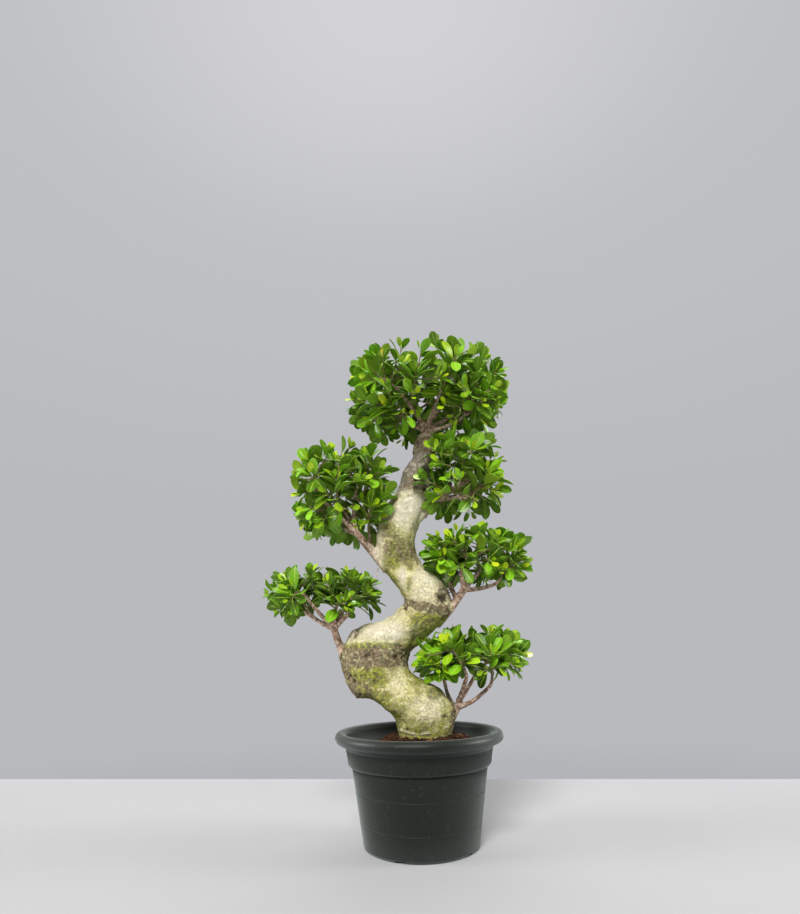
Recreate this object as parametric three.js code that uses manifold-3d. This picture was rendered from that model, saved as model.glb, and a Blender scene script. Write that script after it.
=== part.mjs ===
import * as THREE from 'three';
import { mergeVertices } from 'three/addons/utils/BufferGeometryUtils.js';
import Module from 'manifold-3d';

const wasm = await Module();
wasm.setup();

// A ficus ginseng bonsai with an S-shaped trunk, potted in a round plastic pot.
// Millimetres, +Z up, front towards -Y, origin at the middle of the pot's base.

// Driving dimensions
const SEAT_GAP = 0.3;
const POT = {
  sides: 24,
  wall: 2.6,
  foot: { inner: 70, outer: 78.5, height: 3, slope: 2 },
  base: { radius: 81.7, corner: 4 },
  body: { radius: 96.4, height: 109.7 },
  shoulder: { radius: 98, height: 113 },
  neck: { lowRadius: 102.1, low: 118, topRadius: 104.9, top: 134 },
  rim: { radius: 112.1, height: 148.7, roll: 7.9, steps: 5, firstAngle: -100, sweep: 290 },
  floor: 6,
  pad: 30,
};
const DRAIN = {
  count: 5,
  firstAngle: -112,
  ring: 51,
  radius: 6,
  sides: 8,
  notch: { length: 30, width: 14, height: 3 },
};
const SOIL = { edgeTop: 126.6, trunkTop: 149, spread: 38, innerRadius: 30 };
const TRUNK = { sides: 12, rings: 26, straightTop: 152, bottom: 96 };
const LUMPS = {
  size: 0.022,
  fullFrom: 0.08,
  waves: [{ around: 3, along: 23, share: 1 }, { around: 5, along: -41, share: 0.7 }],
};
const BOUGH = { sides: 7, steps: 3 };
const LIMB = { forkRadius: 3.6, endRadius: 2.5, sides: 4, steps: 2 };
const TWIG = { length: 50, shortest: 40, stalk: 11, startRadius: 2.3, tipRadius: 1.5, sides: 3, node: 1.8 };
const LEAF = { length: 36, width: 20, thickness: 0.8, petiole: 6 };
const LEAVES_PER_SPRAY = 8;
const GOLDEN_ANGLE = THREE.MathUtils.degToRad(137.5);

// How sprays fill a clump: their tips stay a leaf's reach inside it, and square its corners a little.
const CLUMP_FILL = { highest: 0.93, reach: 27, fullness: 0.8 };
// Where along a limb a spray may fork off, and what counts against a bent twig.
const FORK = { firstStep: 3, steps: 10, lift: 0.4, bendCost: 40 };
// How the leaves of a spray follow each other along its twig.
const SPIRAL = { first: 0.6, bare: 7, crowding: 0.8 };
// How far leaves lean out from the twig in degrees, and how each gives way to its neighbours.
const LEAN = { low: 76, change: 38, spread: 14, least: 34, giveWay: 2, swing: 0.16 };
const LEAF_LIFT = 0.18;
const LEAF_FACING_UP = 0.6;
// How leaves differ in length and in how far their tips hang.
const GROWTH = { young: 0.72, least: 0.86, spread: 0.22 };
const DROOP = { least: 0.1, spread: 0.2 };
const DRAWN_FOR = { turn: 1, lean: 2, length: 3, droop: 4 };
// The room that limbs, twigs and blades keep from each other while they are placed.
const ROOM = { limb: 1, twig: 0.7, placedTwig: 0.3, stalk: 0.5, blade: 0.7, choices: 9 };
const BLADE_TEST = { from: 4, guardFrom: 5, half: 2 };

// The trunk's left and right edge seen from the front, from the soil to the sawn top:
// left x, left z, right x, right z, half depth, and how far its middle lies back in y.
const TRUNK_EDGES = [
  [-29, 152, 48, 152, 38.5, 0],
  [-33, 168, 50, 164, 39, -2],
  [-39, 179, 51, 182, 40, -4],
  [-50, 188, 43, 198, 40, -5],
  [-63, 199, 29, 216, 39, -4],
  [-88, 211, -3, 234, 38, 2],
  [-100, 222, -12, 244, 40, 5],
  [-109, 241, -14, 253, 42, 6],
  [-112, 261, -13, 260, 42, 6],
  [-106, 282, -10, 266, 39, 5],
  [-96, 298, -2, 273, 36, 3],
  [-77, 308, 7, 280, 33, 1],
  [-52, 313, 18, 290, 31, -1],
  [-33, 322, 29, 300, 30, -4],
  [-22, 332, 39, 309, 30, -7],
  [-16, 338, 48, 321, 30, -8],
  [-17, 343, 51, 337, 30, -8],
  [-21, 351, 48, 354, 30, -7],
  [-28, 365, 38, 371, 29, -5],
  [-47, 392, 12, 395, 27, 0],
  [-55, 410, 4, 412, 27.5, 2],
  [-57, 431, 1, 429, 28, 3],
  [-55, 451, 4, 445, 28, 4],
  [-47, 471, 12, 464, 28, 3],
  [-36, 493, 21, 487, 27, 1],
  [-22, 514, 27, 513, 24, -1],
  [-12, 542, 28, 541, 20, -3],
  [3, 568, 34, 568, 15, -2],
  [7, 585, 35, 584, 13, -1],
  [10, 598, 33, 597, 11, -2],
];

// The six clumps of foliage. Each hangs on a bough of the trunk, with the limbs that fork from it
// as curves of three points, and fills an ellipsoid with its leafy sprays.
const CLUMPS = [
  {
    name: 'crown',
    lowest: -0.8,
    centre: [26, 0, 663],
    half: [127, 95, 80],
    sprays: 14,
    phase: 20,
    bough: [[22, -2, 585], [24, -3, 600], [23, -3, 611]],
    boughRadius: [9, 6.5],
    limbs: [
      [[23, -3, 608], [2, -24, 634], [-26, -50, 660]],
      [[23, -3, 608], [38, -22, 636], [52, -52, 672]],
      [[23, -3, 606], [-14, -16, 610], [-62, -22, 640]],
      [[23, -3, 604], [56, -16, 598], [104, -26, 636]],
      [[23, -3, 608], [8, 30, 648], [-20, 54, 700]],
      [[23, -3, 608], [42, 24, 644], [76, 52, 700]],
      [[23, -3, 608], [20, 0, 650], [20, -8, 712]],
      [[23, -3, 606], [60, 10, 626], [116, 14, 676]],
      [[23, -3, 606], [-12, 12, 632], [-58, 14, 678]],
    ],
  },
  {
    name: 'upper_left',
    lowest: -0.75,
    centre: [-103, 0, 507],
    half: [84, 75, 84],
    sprays: 9,
    phase: 75,
    bough: [[-40, 0, 392], [-66, -8, 420], [-86, -12, 445]],
    boughRadius: [8, 5.5],
    limbs: [
      [[-85, -12, 443], [-112, -24, 472], [-150, -34, 506]],
      [[-85, -12, 443], [-96, -10, 478], [-80, -6, 530]],
      [[-85, -12, 443], [-112, 0, 456], [-152, 16, 482]],
      [[-85, -12, 443], [-104, 10, 478], [-120, 44, 530]],
      [[-63, -8, 419], [-70, -26, 440], [-62, -46, 484]],
      [[-63, -8, 419], [-72, 14, 446], [-60, 40, 490]],
    ],
  },
  {
    name: 'upper_right',
    lowest: -0.8,
    centre: [70, 0, 531],
    half: [81, 72, 70],
    sprays: 7,
    phase: 140,
    bough: [[-4, 0, 458], [22, -6, 476], [45, -12, 501]],
    boughRadius: [7, 4.8],
    limbs: [
      [[44, -12, 500], [52, -20, 520], [58, -40, 556]],
      [[44, -12, 500], [72, -8, 512], [104, 2, 540]],
      [[36, -10, 491], [74, -16, 500], [110, -20, 482]],
      [[44, -12, 500], [62, 10, 524], [84, 34, 552]],
      [[36, -10, 491], [42, 12, 520], [54, 34, 566]],
      [[44, -12, 500], [80, -24, 518], [112, -36, 530]],
    ],
  },
  {
    name: 'middle_right',
    lowest: -0.55,
    centre: [92, 0, 404],
    half: [85, 72, 55],
    sprays: 7,
    phase: 10,
    bough: [[28, -8, 308], [52, -9, 326], [72, -14, 358]],
    boughRadius: [8, 5.2],
    limbs: [
      [[71, -14, 356], [84, -26, 372], [98, -44, 398]],
      [[71, -14, 356], [104, -10, 354], [140, -2, 374]],
      [[60, -12, 342], [50, 2, 372], [34, 16, 398]],
      [[71, -14, 356], [66, -22, 384], [64, -38, 412]],
      [[71, -14, 356], [92, 6, 380], [116, 30, 404]],
      [[71, -14, 356], [72, 10, 384], [76, 36, 412]],
    ],
  },
  {
    name: 'middle_left',
    lowest: -0.5,
    centre: [-137, 0, 353],
    half: [92, 72, 52],
    sprays: 8,
    phase: 50,
    bough: [[-90, 4, 240], [-113, 2, 270], [-121, -4, 305]],
    boughRadius: [8, 5.2],
    limbs: [
      [[-121, -4, 303], [-140, -16, 324], [-160, -34, 352]],
      [[-121, -4, 303], [-150, 8, 316], [-186, 22, 346]],
      [[-121, -4, 303], [-118, -6, 325], [-119, -14, 358]],
      [[-121, -4, 303], [-100, -14, 322], [-78, -28, 344]],
      [[-121, -4, 303], [-112, 14, 326], [-98, 34, 356]],
      [[-121, -4, 303], [-130, 12, 326], [-142, 36, 356]],
    ],
  },
  {
    name: 'lower_right',
    lowest: -0.5,
    centre: [78, 0, 260],
    half: [88, 72, 48],
    sprays: 7,
    phase: 100,
    bough: [[32, 2, 158], [54, 0, 172], [60, -6, 200]],
    boughRadius: [7.5, 5],
    limbs: [
      [[58, -4, 188], [84, -10, 192], [116, -18, 232]],
      [[57, -3, 182], [40, 14, 200], [40, 18, 236]],
      [[60, -6, 198], [66, -26, 224], [76, -40, 252]],
      [[60, -6, 198], [80, 10, 220], [98, 30, 248]],
      [[60, -6, 198], [46, -24, 214], [30, -38, 240]],
    ],
  },
];

// Colours
const MATERIALS = {
  pot: new THREE.MeshStandardMaterial({ color: 0x3b413f, roughness: 0.6, metalness: 0 }),
  soil: new THREE.MeshStandardMaterial({ color: 0x4c3022, roughness: 0.95, metalness: 0 }),
  bark: new THREE.MeshStandardMaterial({ color: 0xa79f7b, roughness: 0.8, metalness: 0 }),
  leaf: new THREE.MeshStandardMaterial({ color: 0x2f6a25, roughness: 0.35, metalness: 0 }),
};

const UP = new THREE.Vector3(0, 0, 1);
const vector = (point) => new THREE.Vector3(...point);

// A number from 0 to 1 that depends only on the spray, the leaf and what it is drawn for.
function draw(spray, leaf, what) {
  const value = Math.sin(spray * 12.9898 + leaf * 78.233 + what * 37.719) * 43758.5453;
  return value - Math.floor(value);
}

// Turns a closed geometry into a solid that can be joined or cut.
function solidOf(source) {
  const bare = source.index ? source.clone() : source;
  bare.deleteAttribute('normal');
  bare.deleteAttribute('uv');
  const merged = mergeVertices(bare, 1e-4);
  const index = merged.index.array;
  const triangles = [];
  for (let i = 0; i < index.length; i += 3) {
    const [a, b, c] = [index[i], index[i + 1], index[i + 2]];
    if (a !== b && b !== c && a !== c) {
      triangles.push(a, b, c);
    }
  }
  return new wasm.Manifold(new wasm.Mesh({
    numProp: 3,
    vertProperties: new Float32Array(merged.attributes.position.array),
    triVerts: new Uint32Array(triangles),
  }));
}

// Names a solid and gives it its material.
function meshOf(name, solid, material) {
  const made = solid.getMesh();
  const geometry = new THREE.BufferGeometry();
  geometry.setAttribute('position', new THREE.BufferAttribute(made.vertProperties, 3));
  geometry.setIndex(new THREE.BufferAttribute(made.triVerts, 1));
  geometry.computeVertexNormals();
  const mesh = new THREE.Mesh(geometry, material);
  mesh.name = name;
  return mesh;
}

// A closed solid through rings of equally many points. A ring of one point closes an end in a tip.
function loft(rings) {
  const positions = [];
  const triangles = [];
  const starts = [];
  for (const ring of rings) {
    starts.push(positions.length / 3);
    for (const point of ring) {
      positions.push(point.x, point.y, point.z);
    }
  }
  const sides = rings[0].length;
  for (let i = 1; i < sides - 1; i += 1) {
    triangles.push(starts[0], starts[0] + i + 1, starts[0] + i);
  }
  for (let row = 0; row + 1 < rings.length; row += 1) {
    const tip = rings[row + 1].length === 1;
    for (let i = 0; i < sides; i += 1) {
      const a = starts[row] + i;
      const b = starts[row] + (i + 1) % sides;
      const c = starts[row + 1] + (tip ? 0 : i);
      const d = starts[row + 1] + (i + 1) % sides;
      triangles.push(a, b, c);
      if (!tip) {
        triangles.push(b, d, c);
      }
    }
  }
  const last = starts[rings.length - 1];
  if (rings[rings.length - 1].length > 1) {
    for (let i = 1; i < sides - 1; i += 1) {
      triangles.push(last, last + i, last + i + 1);
    }
  }
  const geometry = new THREE.BufferGeometry();
  geometry.setAttribute('position', new THREE.Float32BufferAttribute(positions, 3));
  geometry.setIndex(triangles);
  return solidOf(geometry);
}

// The axis most square to the way a curve runs.
function referenceOf(curve) {
  const run = curve.getPoint(1).sub(curve.getPoint(0));
  const [x, y, z] = run.toArray().map(Math.abs);
  if (x <= y && x <= z) {
    return new THREE.Vector3(1, 0, 0);
  }
  return y <= z ? new THREE.Vector3(0, 1, 0) : new THREE.Vector3(0, 0, 1);
}

// The direction square to a curve at a place on it, turned about the curve from its reference.
function aside(curve, t, turn) {
  const heading = curve.getTangent(t);
  const across = new THREE.Vector3().crossVectors(heading, referenceOf(curve)).normalize();
  const over = new THREE.Vector3().crossVectors(heading, across);
  return across.multiplyScalar(Math.cos(turn)).addScaledVector(over, Math.sin(turn));
}

// A round ring of points about a place on a curve, square to the way the curve runs there.
function ringAt(curve, t, radius, sides, offset = 0) {
  const middle = curve.getPoint(t);
  const ring = [];
  for (let i = 0; i < sides; i += 1) {
    const turn = (i / sides) * 2 * Math.PI + offset;
    ring.push(middle.clone().addScaledVector(aside(curve, t, turn), radius));
  }
  return ring;
}

// A tapering tube along a stretch of a curve.
function taper(curve, from, to, radiusFrom, radiusTo, sides, steps) {
  const rings = [];
  for (let i = 0; i <= steps; i += 1) {
    const t = THREE.MathUtils.lerp(from, to, i / steps);
    rings.push(ringAt(curve, t, THREE.MathUtils.lerp(radiusFrom, radiusTo, i / steps), sides));
  }
  return loft(rings);
}

const bend = (points) => new THREE.QuadraticBezierCurve3(...points.map(vector));

// Pot: a turned wall with a rolled rim, a neck, a shoulder and a foot ring.
function makePot() {
  const { wall, foot, base, body, shoulder, neck, rim, floor, pad } = POT;
  const profile = [
    [0, 0],
    [pad, 0],
    [pad + foot.slope, foot.height],
    [foot.inner - foot.slope, foot.height],
    [foot.inner, 0],
    [foot.outer, 0],
    [base.radius, base.corner],
    [body.radius, body.height],
    [shoulder.radius, shoulder.height],
    [neck.lowRadius, neck.low],
    [neck.topRadius, neck.top],
  ];
  for (let i = 0; i <= rim.steps; i += 1) {
    const turn = THREE.MathUtils.degToRad(rim.firstAngle + (i / rim.steps) * rim.sweep);
    profile.push([rim.radius + rim.roll * Math.cos(turn), rim.height + rim.roll * Math.sin(turn)]);
  }
  profile.push([neck.topRadius - wall, neck.top]);
  profile.push([neck.lowRadius - wall, neck.low]);
  profile.push([body.radius - wall, body.height]);
  profile.push([base.radius - wall, floor]);
  profile.push([0, floor]);
  const turned = new THREE.LatheGeometry(profile.map(([r, z]) => new THREE.Vector2(r, z)), POT.sides);
  turned.rotateX(Math.PI / 2);
  let pot = solidOf(turned);
  for (let i = 0; i < DRAIN.count; i += 1) {
    const angle = THREE.MathUtils.degToRad(DRAIN.firstAngle + (i * 360) / DRAIN.count);
    const hole = new THREE.CylinderGeometry(DRAIN.radius, DRAIN.radius, 3 * floor, DRAIN.sides);
    hole.rotateX(Math.PI / 2);
    hole.translate(DRAIN.ring * Math.cos(angle), DRAIN.ring * Math.sin(angle), floor);
    pot = pot.subtract(solidOf(hole));
    const notch = new THREE.BoxGeometry(DRAIN.notch.length, DRAIN.notch.width, 2 * DRAIN.notch.height);
    notch.translate((foot.inner + foot.outer) / 2, 0, 0);
    notch.rotateZ(angle);
    pot = pot.subtract(solidOf(notch));
  }
  return pot;
}

// Trunk: rings laid between its two edges, fanned out round its bends.
const edge = (column) => new THREE.CatmullRomCurve3(
  TRUNK_EDGES.map((row) => new THREE.Vector3(row[column], 0, row[column + 1])),
);
const leftEdge = edge(0);
const rightEdge = edge(2);
const depths = new THREE.CatmullRomCurve3(TRUNK_EDGES.map((row) => new THREE.Vector3(row[4], row[5], 0)));

function trunkRing(t, swell) {
  const left = leftEdge.getPoint(t);
  const right = rightEdge.getPoint(t);
  const depth = depths.getPoint(t);
  const middle = left.clone().add(right).multiplyScalar(0.5).setY(depth.y);
  const half = right.clone().sub(left).multiplyScalar(0.5);
  const lumpSize = LUMPS.size * Math.min(1, t / LUMPS.fullFrom);
  const ring = [];
  for (let i = 0; i < TRUNK.sides; i += 1) {
    const turn = (i / TRUNK.sides) * 2 * Math.PI;
    let lump = 0;
    for (const { around, along, share } of LUMPS.waves) {
      lump += share * Math.sin(around * turn + along * t);
    }
    const scale = 1 + lumpSize * lump + swell / half.length();
    ring.push(middle.clone()
      .addScaledVector(half, scale * Math.cos(turn))
      .add(new THREE.Vector3(0, scale * depth.x * Math.sin(turn), 0)));
  }
  return ring;
}

const lowered = (ring, z) => ring.map((point) => new THREE.Vector3(point.x, point.y, z));

function makeTrunkBody() {
  const rings = [lowered(trunkRing(0, 0), TRUNK.bottom)];
  for (let i = 0; i <= TRUNK.rings; i += 1) {
    rings.push(trunkRing(i / TRUNK.rings, 0));
  }
  return loft(rings);
}

// Soil: it fills the pot, rises in a mound round the trunk and has a plain hole for its foot.
function makeSoil() {
  const { wall, body, neck, base, floor } = POT;
  const inside = wall + SEAT_GAP;
  const [left, , right] = TRUNK_EDGES[0];
  const middle = (left + right) / 2;
  const neckShare = (SOIL.edgeTop - neck.low) / (neck.top - neck.low);
  const topRadius = THREE.MathUtils.lerp(neck.lowRadius, neck.topRadius, neckShare) - inside;
  const walls = [
    [base.radius - inside, floor + SEAT_GAP],
    [body.radius - inside, body.height],
    [neck.lowRadius - inside, neck.low + SEAT_GAP],
    [topRadius, SOIL.edgeTop],
  ];
  const ring = (radius, centre, height) => {
    const points = [];
    for (let i = 0; i < POT.sides; i += 1) {
      const turn = (i / POT.sides) * 2 * Math.PI;
      const x = centre + radius * Math.cos(turn);
      const y = radius * Math.sin(turn);
      points.push(new THREE.Vector3(x, y, height(x, y)));
    }
    return points;
  };
  const surface = (x, y) => {
    const away = Math.max(0, Math.hypot(x - middle, y) - (right - left) / 2) / SOIL.spread;
    return SOIL.edgeTop + (SOIL.trunkTop - SOIL.edgeTop) * Math.exp(-away * away);
  };
  const rings = walls.map(([radius, z]) => ring(radius, 0, () => z));
  rings.push(ring((topRadius + SOIL.innerRadius) / 2, middle / 2, surface));
  rings.push(ring(SOIL.innerRadius, middle, surface));
  const filled = loft(rings);
  const foot = trunkRing(0, SEAT_GAP);
  return filled.subtract(loft([
    lowered(foot, TRUNK.bottom - SEAT_GAP),
    lowered(foot, TRUNK.straightTop + SOIL.trunkTop),
  ]));
}

// Sprays: each grows from the limb that suits it best to a tip on its clump's ellipsoid.
const evenedOut = (share) => Math.sign(share) * Math.abs(share) ** CLUMP_FILL.fullness;

function sprayTips(clump) {
  const tips = [];
  for (let i = 0; i < clump.sprays; i += 1) {
    const rise = THREE.MathUtils.lerp(CLUMP_FILL.highest, clump.lowest, (i + 0.5) / clump.sprays);
    const level = Math.sqrt(1 - rise * rise);
    const turn = THREE.MathUtils.degToRad(clump.phase) + i * GOLDEN_ANGLE;
    const outward = new THREE.Vector3(level * Math.cos(turn), level * Math.sin(turn), rise);
    const full = vector(outward.toArray().map(evenedOut));
    const reach = vector(clump.half).subScalar(CLUMP_FILL.reach);
    tips.push({ outward, tip: vector(clump.centre).add(reach.multiply(full)) });
  }
  return tips;
}

// The ways in which a spray can spring from the limbs, the most natural one first.
function sprayWays(limbs, { outward, tip }) {
  const ways = [];
  limbs.forEach((limb, number) => {
    for (let step = FORK.firstStep; step <= FORK.steps; step += 1) {
      const t = step / FORK.steps;
      const from = limb.getPoint(t);
      const heading = limb.getTangent(t);
      const toTip = tip.clone().sub(from);
      const length = toTip.length();
      toTip.divideScalar(length);
      const lead = heading.clone().add(toTip).normalize();
      const finish = outward.clone().add(toTip).addScaledVector(UP, FORK.lift).normalize();
      const bent = 2 - heading.dot(toTip) - finish.dot(toTip);
      const path = new THREE.CubicBezierCurve3(
        from,
        from.clone().addScaledVector(lead, length / 3),
        tip.clone().addScaledVector(finish, -length / 3),
        tip,
      );
      const start = Math.max(TWIG.stalk / length, 1 - TWIG.length / length);
      const cost = Math.abs(length - TWIG.length) + FORK.bendCost * bent;
      if (length > TWIG.shortest) {
        ways.push({ number, t, path, length, start, cost });
      }
    }
  });
  return ways.sort((one, other) => one.cost - other.cost);
}

const stalkOf = ({ path, start }, spare) => taper(
  path,
  0,
  start,
  LIMB.endRadius + spare,
  TWIG.startRadius + spare,
  TWIG.sides,
  1,
);

// The share of its path at which a spray's leaf springs, and the turn about the twig that it faces.
function leafNode(way, seed, leaf) {
  const share = (leaf + SPIRAL.first) / LEAVES_PER_SPRAY;
  const nodeHalf = TWIG.node / 2 / way.length;
  const lowest = way.start + SPIRAL.bare / way.length;
  const t = THREE.MathUtils.lerp(lowest, 1 - 2 * nodeHalf, share ** SPIRAL.crowding);
  const turn = leaf * GOLDEN_ANGLE + 2 * Math.PI * draw(seed, 0, DRAWN_FOR.turn);
  return { t, share, nodeHalf, turn };
}

// A spray's twig is three-sided and slowly twisted, so that each leaf in its spiral has a facet.
function twigRings(way, seed, spare) {
  const { path, start } = way;
  const facet = (2 * Math.PI) / TWIG.sides;
  const ring = (t, offset) => {
    const radius = THREE.MathUtils.lerp(TWIG.startRadius, TWIG.tipRadius, (t - start) / (1 - start));
    return ringAt(path, t, radius + spare, TWIG.sides, offset);
  };
  const lifted = path.getTangent(start).multiplyScalar(SEAT_GAP + 3 * spare);
  const rings = [ring(start, leafNode(way, seed, 0).turn - facet / 2).map((point) => point.add(lifted))];
  for (let leaf = 0; leaf < LEAVES_PER_SPRAY; leaf += 1) {
    const { t, turn, nodeHalf } = leafNode(way, seed, leaf);
    const offset = turn - (leaf % TWIG.sides + 0.5) * facet;
    rings.push(ring(t - nodeHalf, offset), ring(t + nodeHalf, offset));
  }
  return rings;
}

// A leaf's place on its spray: the point on the twig it leaves, the way it runs, the side it faces.
function leafPlace(way, seed, leaf, choice) {
  const { t, share, turn } = leafNode(way, seed, leaf);
  const root = way.path.getPoint(t);
  const axis = way.path.getTangent(t);
  const swing = Math.ceil(choice / 2) * (choice % 2 ? LEAN.swing : -LEAN.swing);
  const drawnLean = LEAN.spread * (draw(seed, leaf, DRAWN_FOR.lean) - 0.5);
  const degrees = LEAN.low - LEAN.change * share + drawnLean - LEAN.giveWay * choice;
  const lean = THREE.MathUtils.degToRad(Math.max(LEAN.least, degrees));
  const along = axis.clone().multiplyScalar(Math.cos(lean))
    .addScaledVector(aside(way.path, t, turn + swing), Math.sin(lean))
    .addScaledVector(UP, LEAF_LIFT)
    .normalize();
  const face = axis.clone().addScaledVector(UP, LEAF_FACING_UP);
  face.addScaledVector(along, -face.dot(along)).normalize();
  const side = new THREE.Vector3().crossVectors(along, face);
  const age = leaf === LEAVES_PER_SPRAY - 1 ? GROWTH.young : 1;
  const grown = GROWTH.least + GROWTH.spread * draw(seed, leaf, DRAWN_FOR.length);
  const length = LEAF.length * age * grown;
  const droop = DROOP.least + DROOP.spread * draw(seed, leaf, DRAWN_FOR.droop);
  return { root, along, face, side, length, droop };
}

// A leaf: an arched blade, widest past its middle, that narrows to the ring it springs from.
const LEAF_STATIONS = [[0.38, 0.94], [0.74, 0.8]];
function leafSection({ root, along, face, side, length, droop }, share, distance, half, thickness) {
  const middle = root.clone()
    .addScaledVector(along, distance)
    .addScaledVector(face, -droop * length * share * share);
  return [[-1, -1], [-1, 1], [1, 1], [1, -1]].map(([across, over]) => middle.clone()
    .addScaledVector(side, across * half)
    .addScaledVector(face, (over * thickness) / 2));
}

function leafSolid(place, thickness, base) {
  const scale = place.length / LEAF.length;
  const rings = [base];
  for (const [share, width] of LEAF_STATIONS) {
    const distance = LEAF.petiole + share * place.length;
    rings.push(leafSection(place, share, distance, (width * scale * LEAF.width) / 2, thickness));
  }
  rings.push(leafSection(place, 1, LEAF.petiole + place.length, 0, 0).slice(0, 1));
  return loft(rings);
}

// The four corners of the facet that a leaf springs from, in the order of its other rings.
function leafFacet(rings, leaf) {
  const low = rings[1 + 2 * leaf];
  const high = rings[2 + 2 * leaf];
  const here = leaf % TWIG.sides;
  const next = (here + 1) % TWIG.sides;
  return [low[next], high[next], high[here], low[here]];
}

const overlaps = (one, other) => {
  const a = one.boundingBox();
  const b = other.boundingBox();
  for (let i = 0; i < 3; i += 1) {
    if (a.min[i] > b.max[i] || b.min[i] > a.max[i]) {
      return false;
    }
  }
  return one.intersect(other).volume() > 0;
};

// Wood first: the trunk with its boughs, then each limb as far as its last spray.
let wood = makeTrunkBody();
for (const clump of CLUMPS) {
  const [thick, thin] = clump.boughRadius;
  wood = wood.add(taper(bend(clump.bough), 0, 1, thick, thin, BOUGH.sides, BOUGH.steps));
}
const limbOf = (limb, reached, spare) => {
  const end = THREE.MathUtils.lerp(LIMB.forkRadius, LIMB.endRadius, reached);
  return taper(limb, 0, reached, LIMB.forkRadius + spare, end + spare, LIMB.sides, LIMB.steps);
};
const trunkAndBoughs = wood;
const sprays = [];
const twigs = [];
const stalks = [];
for (const clump of CLUMPS) {
  const limbs = clump.limbs.map(bend);
  const wholeLimbs = limbs.map((limb) => limbOf(limb, 1, ROOM.limb));
  const reached = limbs.map(() => 0);
  let count = 0;
  for (const place of sprayTips(clump)) {
    const seed = sprays.length + 1;
    const isFree = (way) => {
      const guard = loft(twigRings(way, seed, ROOM.twig));
      const twig = loft(twigRings(way, seed, 0));
      const stalk = stalkOf(way, ROOM.stalk);
      const near = [trunkAndBoughs, ...wholeLimbs, ...twigs, ...stalks];
      return !near.some((solid) => overlaps(guard, solid) || overlaps(twig, solid))
        && !twigs.some((other) => overlaps(stalk, other));
    };
    const way = sprayWays(limbs, place).find(isFree);
    if (way) {
      reached[way.number] = Math.max(reached[way.number], way.t);
      twigs.push(loft(twigRings(way, seed, ROOM.placedTwig)));
      stalks.push(stalkOf(way, 0));
      count += 1;
      sprays.push({ name: `${clump.name}_spray_${count}`, seed, way });
    }
  }
  limbs.forEach((limb, number) => {
    if (reached[number] > 0) {
      wood = wood.add(limbOf(limb, reached[number], 0));
    }
  });
}
for (const stalk of stalks) {
  wood = wood.add(stalk);
}

// Leaves: each takes the first of its places that is clear of everything already there.
const bladeOf = (place, thickness, from) => leafSolid(
  place,
  thickness,
  leafSection(place, 0, from, BLADE_TEST.half, thickness),
);
const placed = [];
for (const spray of sprays) {
  const rings = twigRings(spray.way, spray.seed, 0);
  const twig = loft(rings);
  spray.solid = twig;
  for (let leaf = 0; leaf < LEAVES_PER_SPRAY; leaf += 1) {
    for (let choice = 0; choice < ROOM.choices; choice += 1) {
      const place = leafPlace(spray.way, spray.seed, leaf, choice);
      const guard = bladeOf(place, LEAF.thickness + ROOM.blade, BLADE_TEST.guardFrom);
      const whole = leafSolid(place, LEAF.thickness, leafFacet(rings, leaf));
      const blocked = overlaps(whole, wood)
        || overlaps(guard, wood)
        || overlaps(whole, twig)
        || twigs.some((other, number) => overlaps(number === spray.seed - 1 ? guard : whole, other))
        || placed.some((other) => overlaps(guard, other.blade) || overlaps(whole, other.whole));
      if (!blocked) {
        placed.push({ whole, blade: bladeOf(place, LEAF.thickness, BLADE_TEST.from) });
        spray.solid = spray.solid.add(whole);
        break;
      }
    }
  }
}

const group = new THREE.Group();
group.add(meshOf('pot', makePot(), MATERIALS.pot));
group.add(meshOf('soil', makeSoil(), MATERIALS.soil));
group.add(meshOf('trunk', wood, MATERIALS.bark));
for (const { name, solid } of sprays) {
  group.add(meshOf(name, solid, MATERIALS.leaf));
}

export default group;
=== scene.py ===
import math

import bmesh
import bpy
import numpy as np
from mathutils import Matrix, Vector, kdtree, noise
from mathutils.bvhtree import BVHTree


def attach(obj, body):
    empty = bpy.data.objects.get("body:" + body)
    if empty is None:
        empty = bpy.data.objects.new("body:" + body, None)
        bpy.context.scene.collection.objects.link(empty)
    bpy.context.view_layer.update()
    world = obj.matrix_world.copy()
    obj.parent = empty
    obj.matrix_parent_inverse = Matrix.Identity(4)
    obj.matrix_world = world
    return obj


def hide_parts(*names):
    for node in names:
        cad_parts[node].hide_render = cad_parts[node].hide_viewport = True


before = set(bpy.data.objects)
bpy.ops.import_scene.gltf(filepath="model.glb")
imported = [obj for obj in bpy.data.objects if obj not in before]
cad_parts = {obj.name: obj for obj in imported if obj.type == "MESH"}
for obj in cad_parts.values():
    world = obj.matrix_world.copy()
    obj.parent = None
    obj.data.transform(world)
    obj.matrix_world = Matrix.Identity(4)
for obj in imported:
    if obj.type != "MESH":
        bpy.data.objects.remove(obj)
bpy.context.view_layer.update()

# A ficus ginseng bonsai in its pot. Sizes are in millimetres, as the part's source has them,
# and become metres where a mesh is made. Front towards -Y.
MM = 0.001
UP = np.array([0.0, 0.0, 1.0])
FULL_TURN = 2 * math.pi
GOLDEN_ANGLE = math.radians(137.5)

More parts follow.
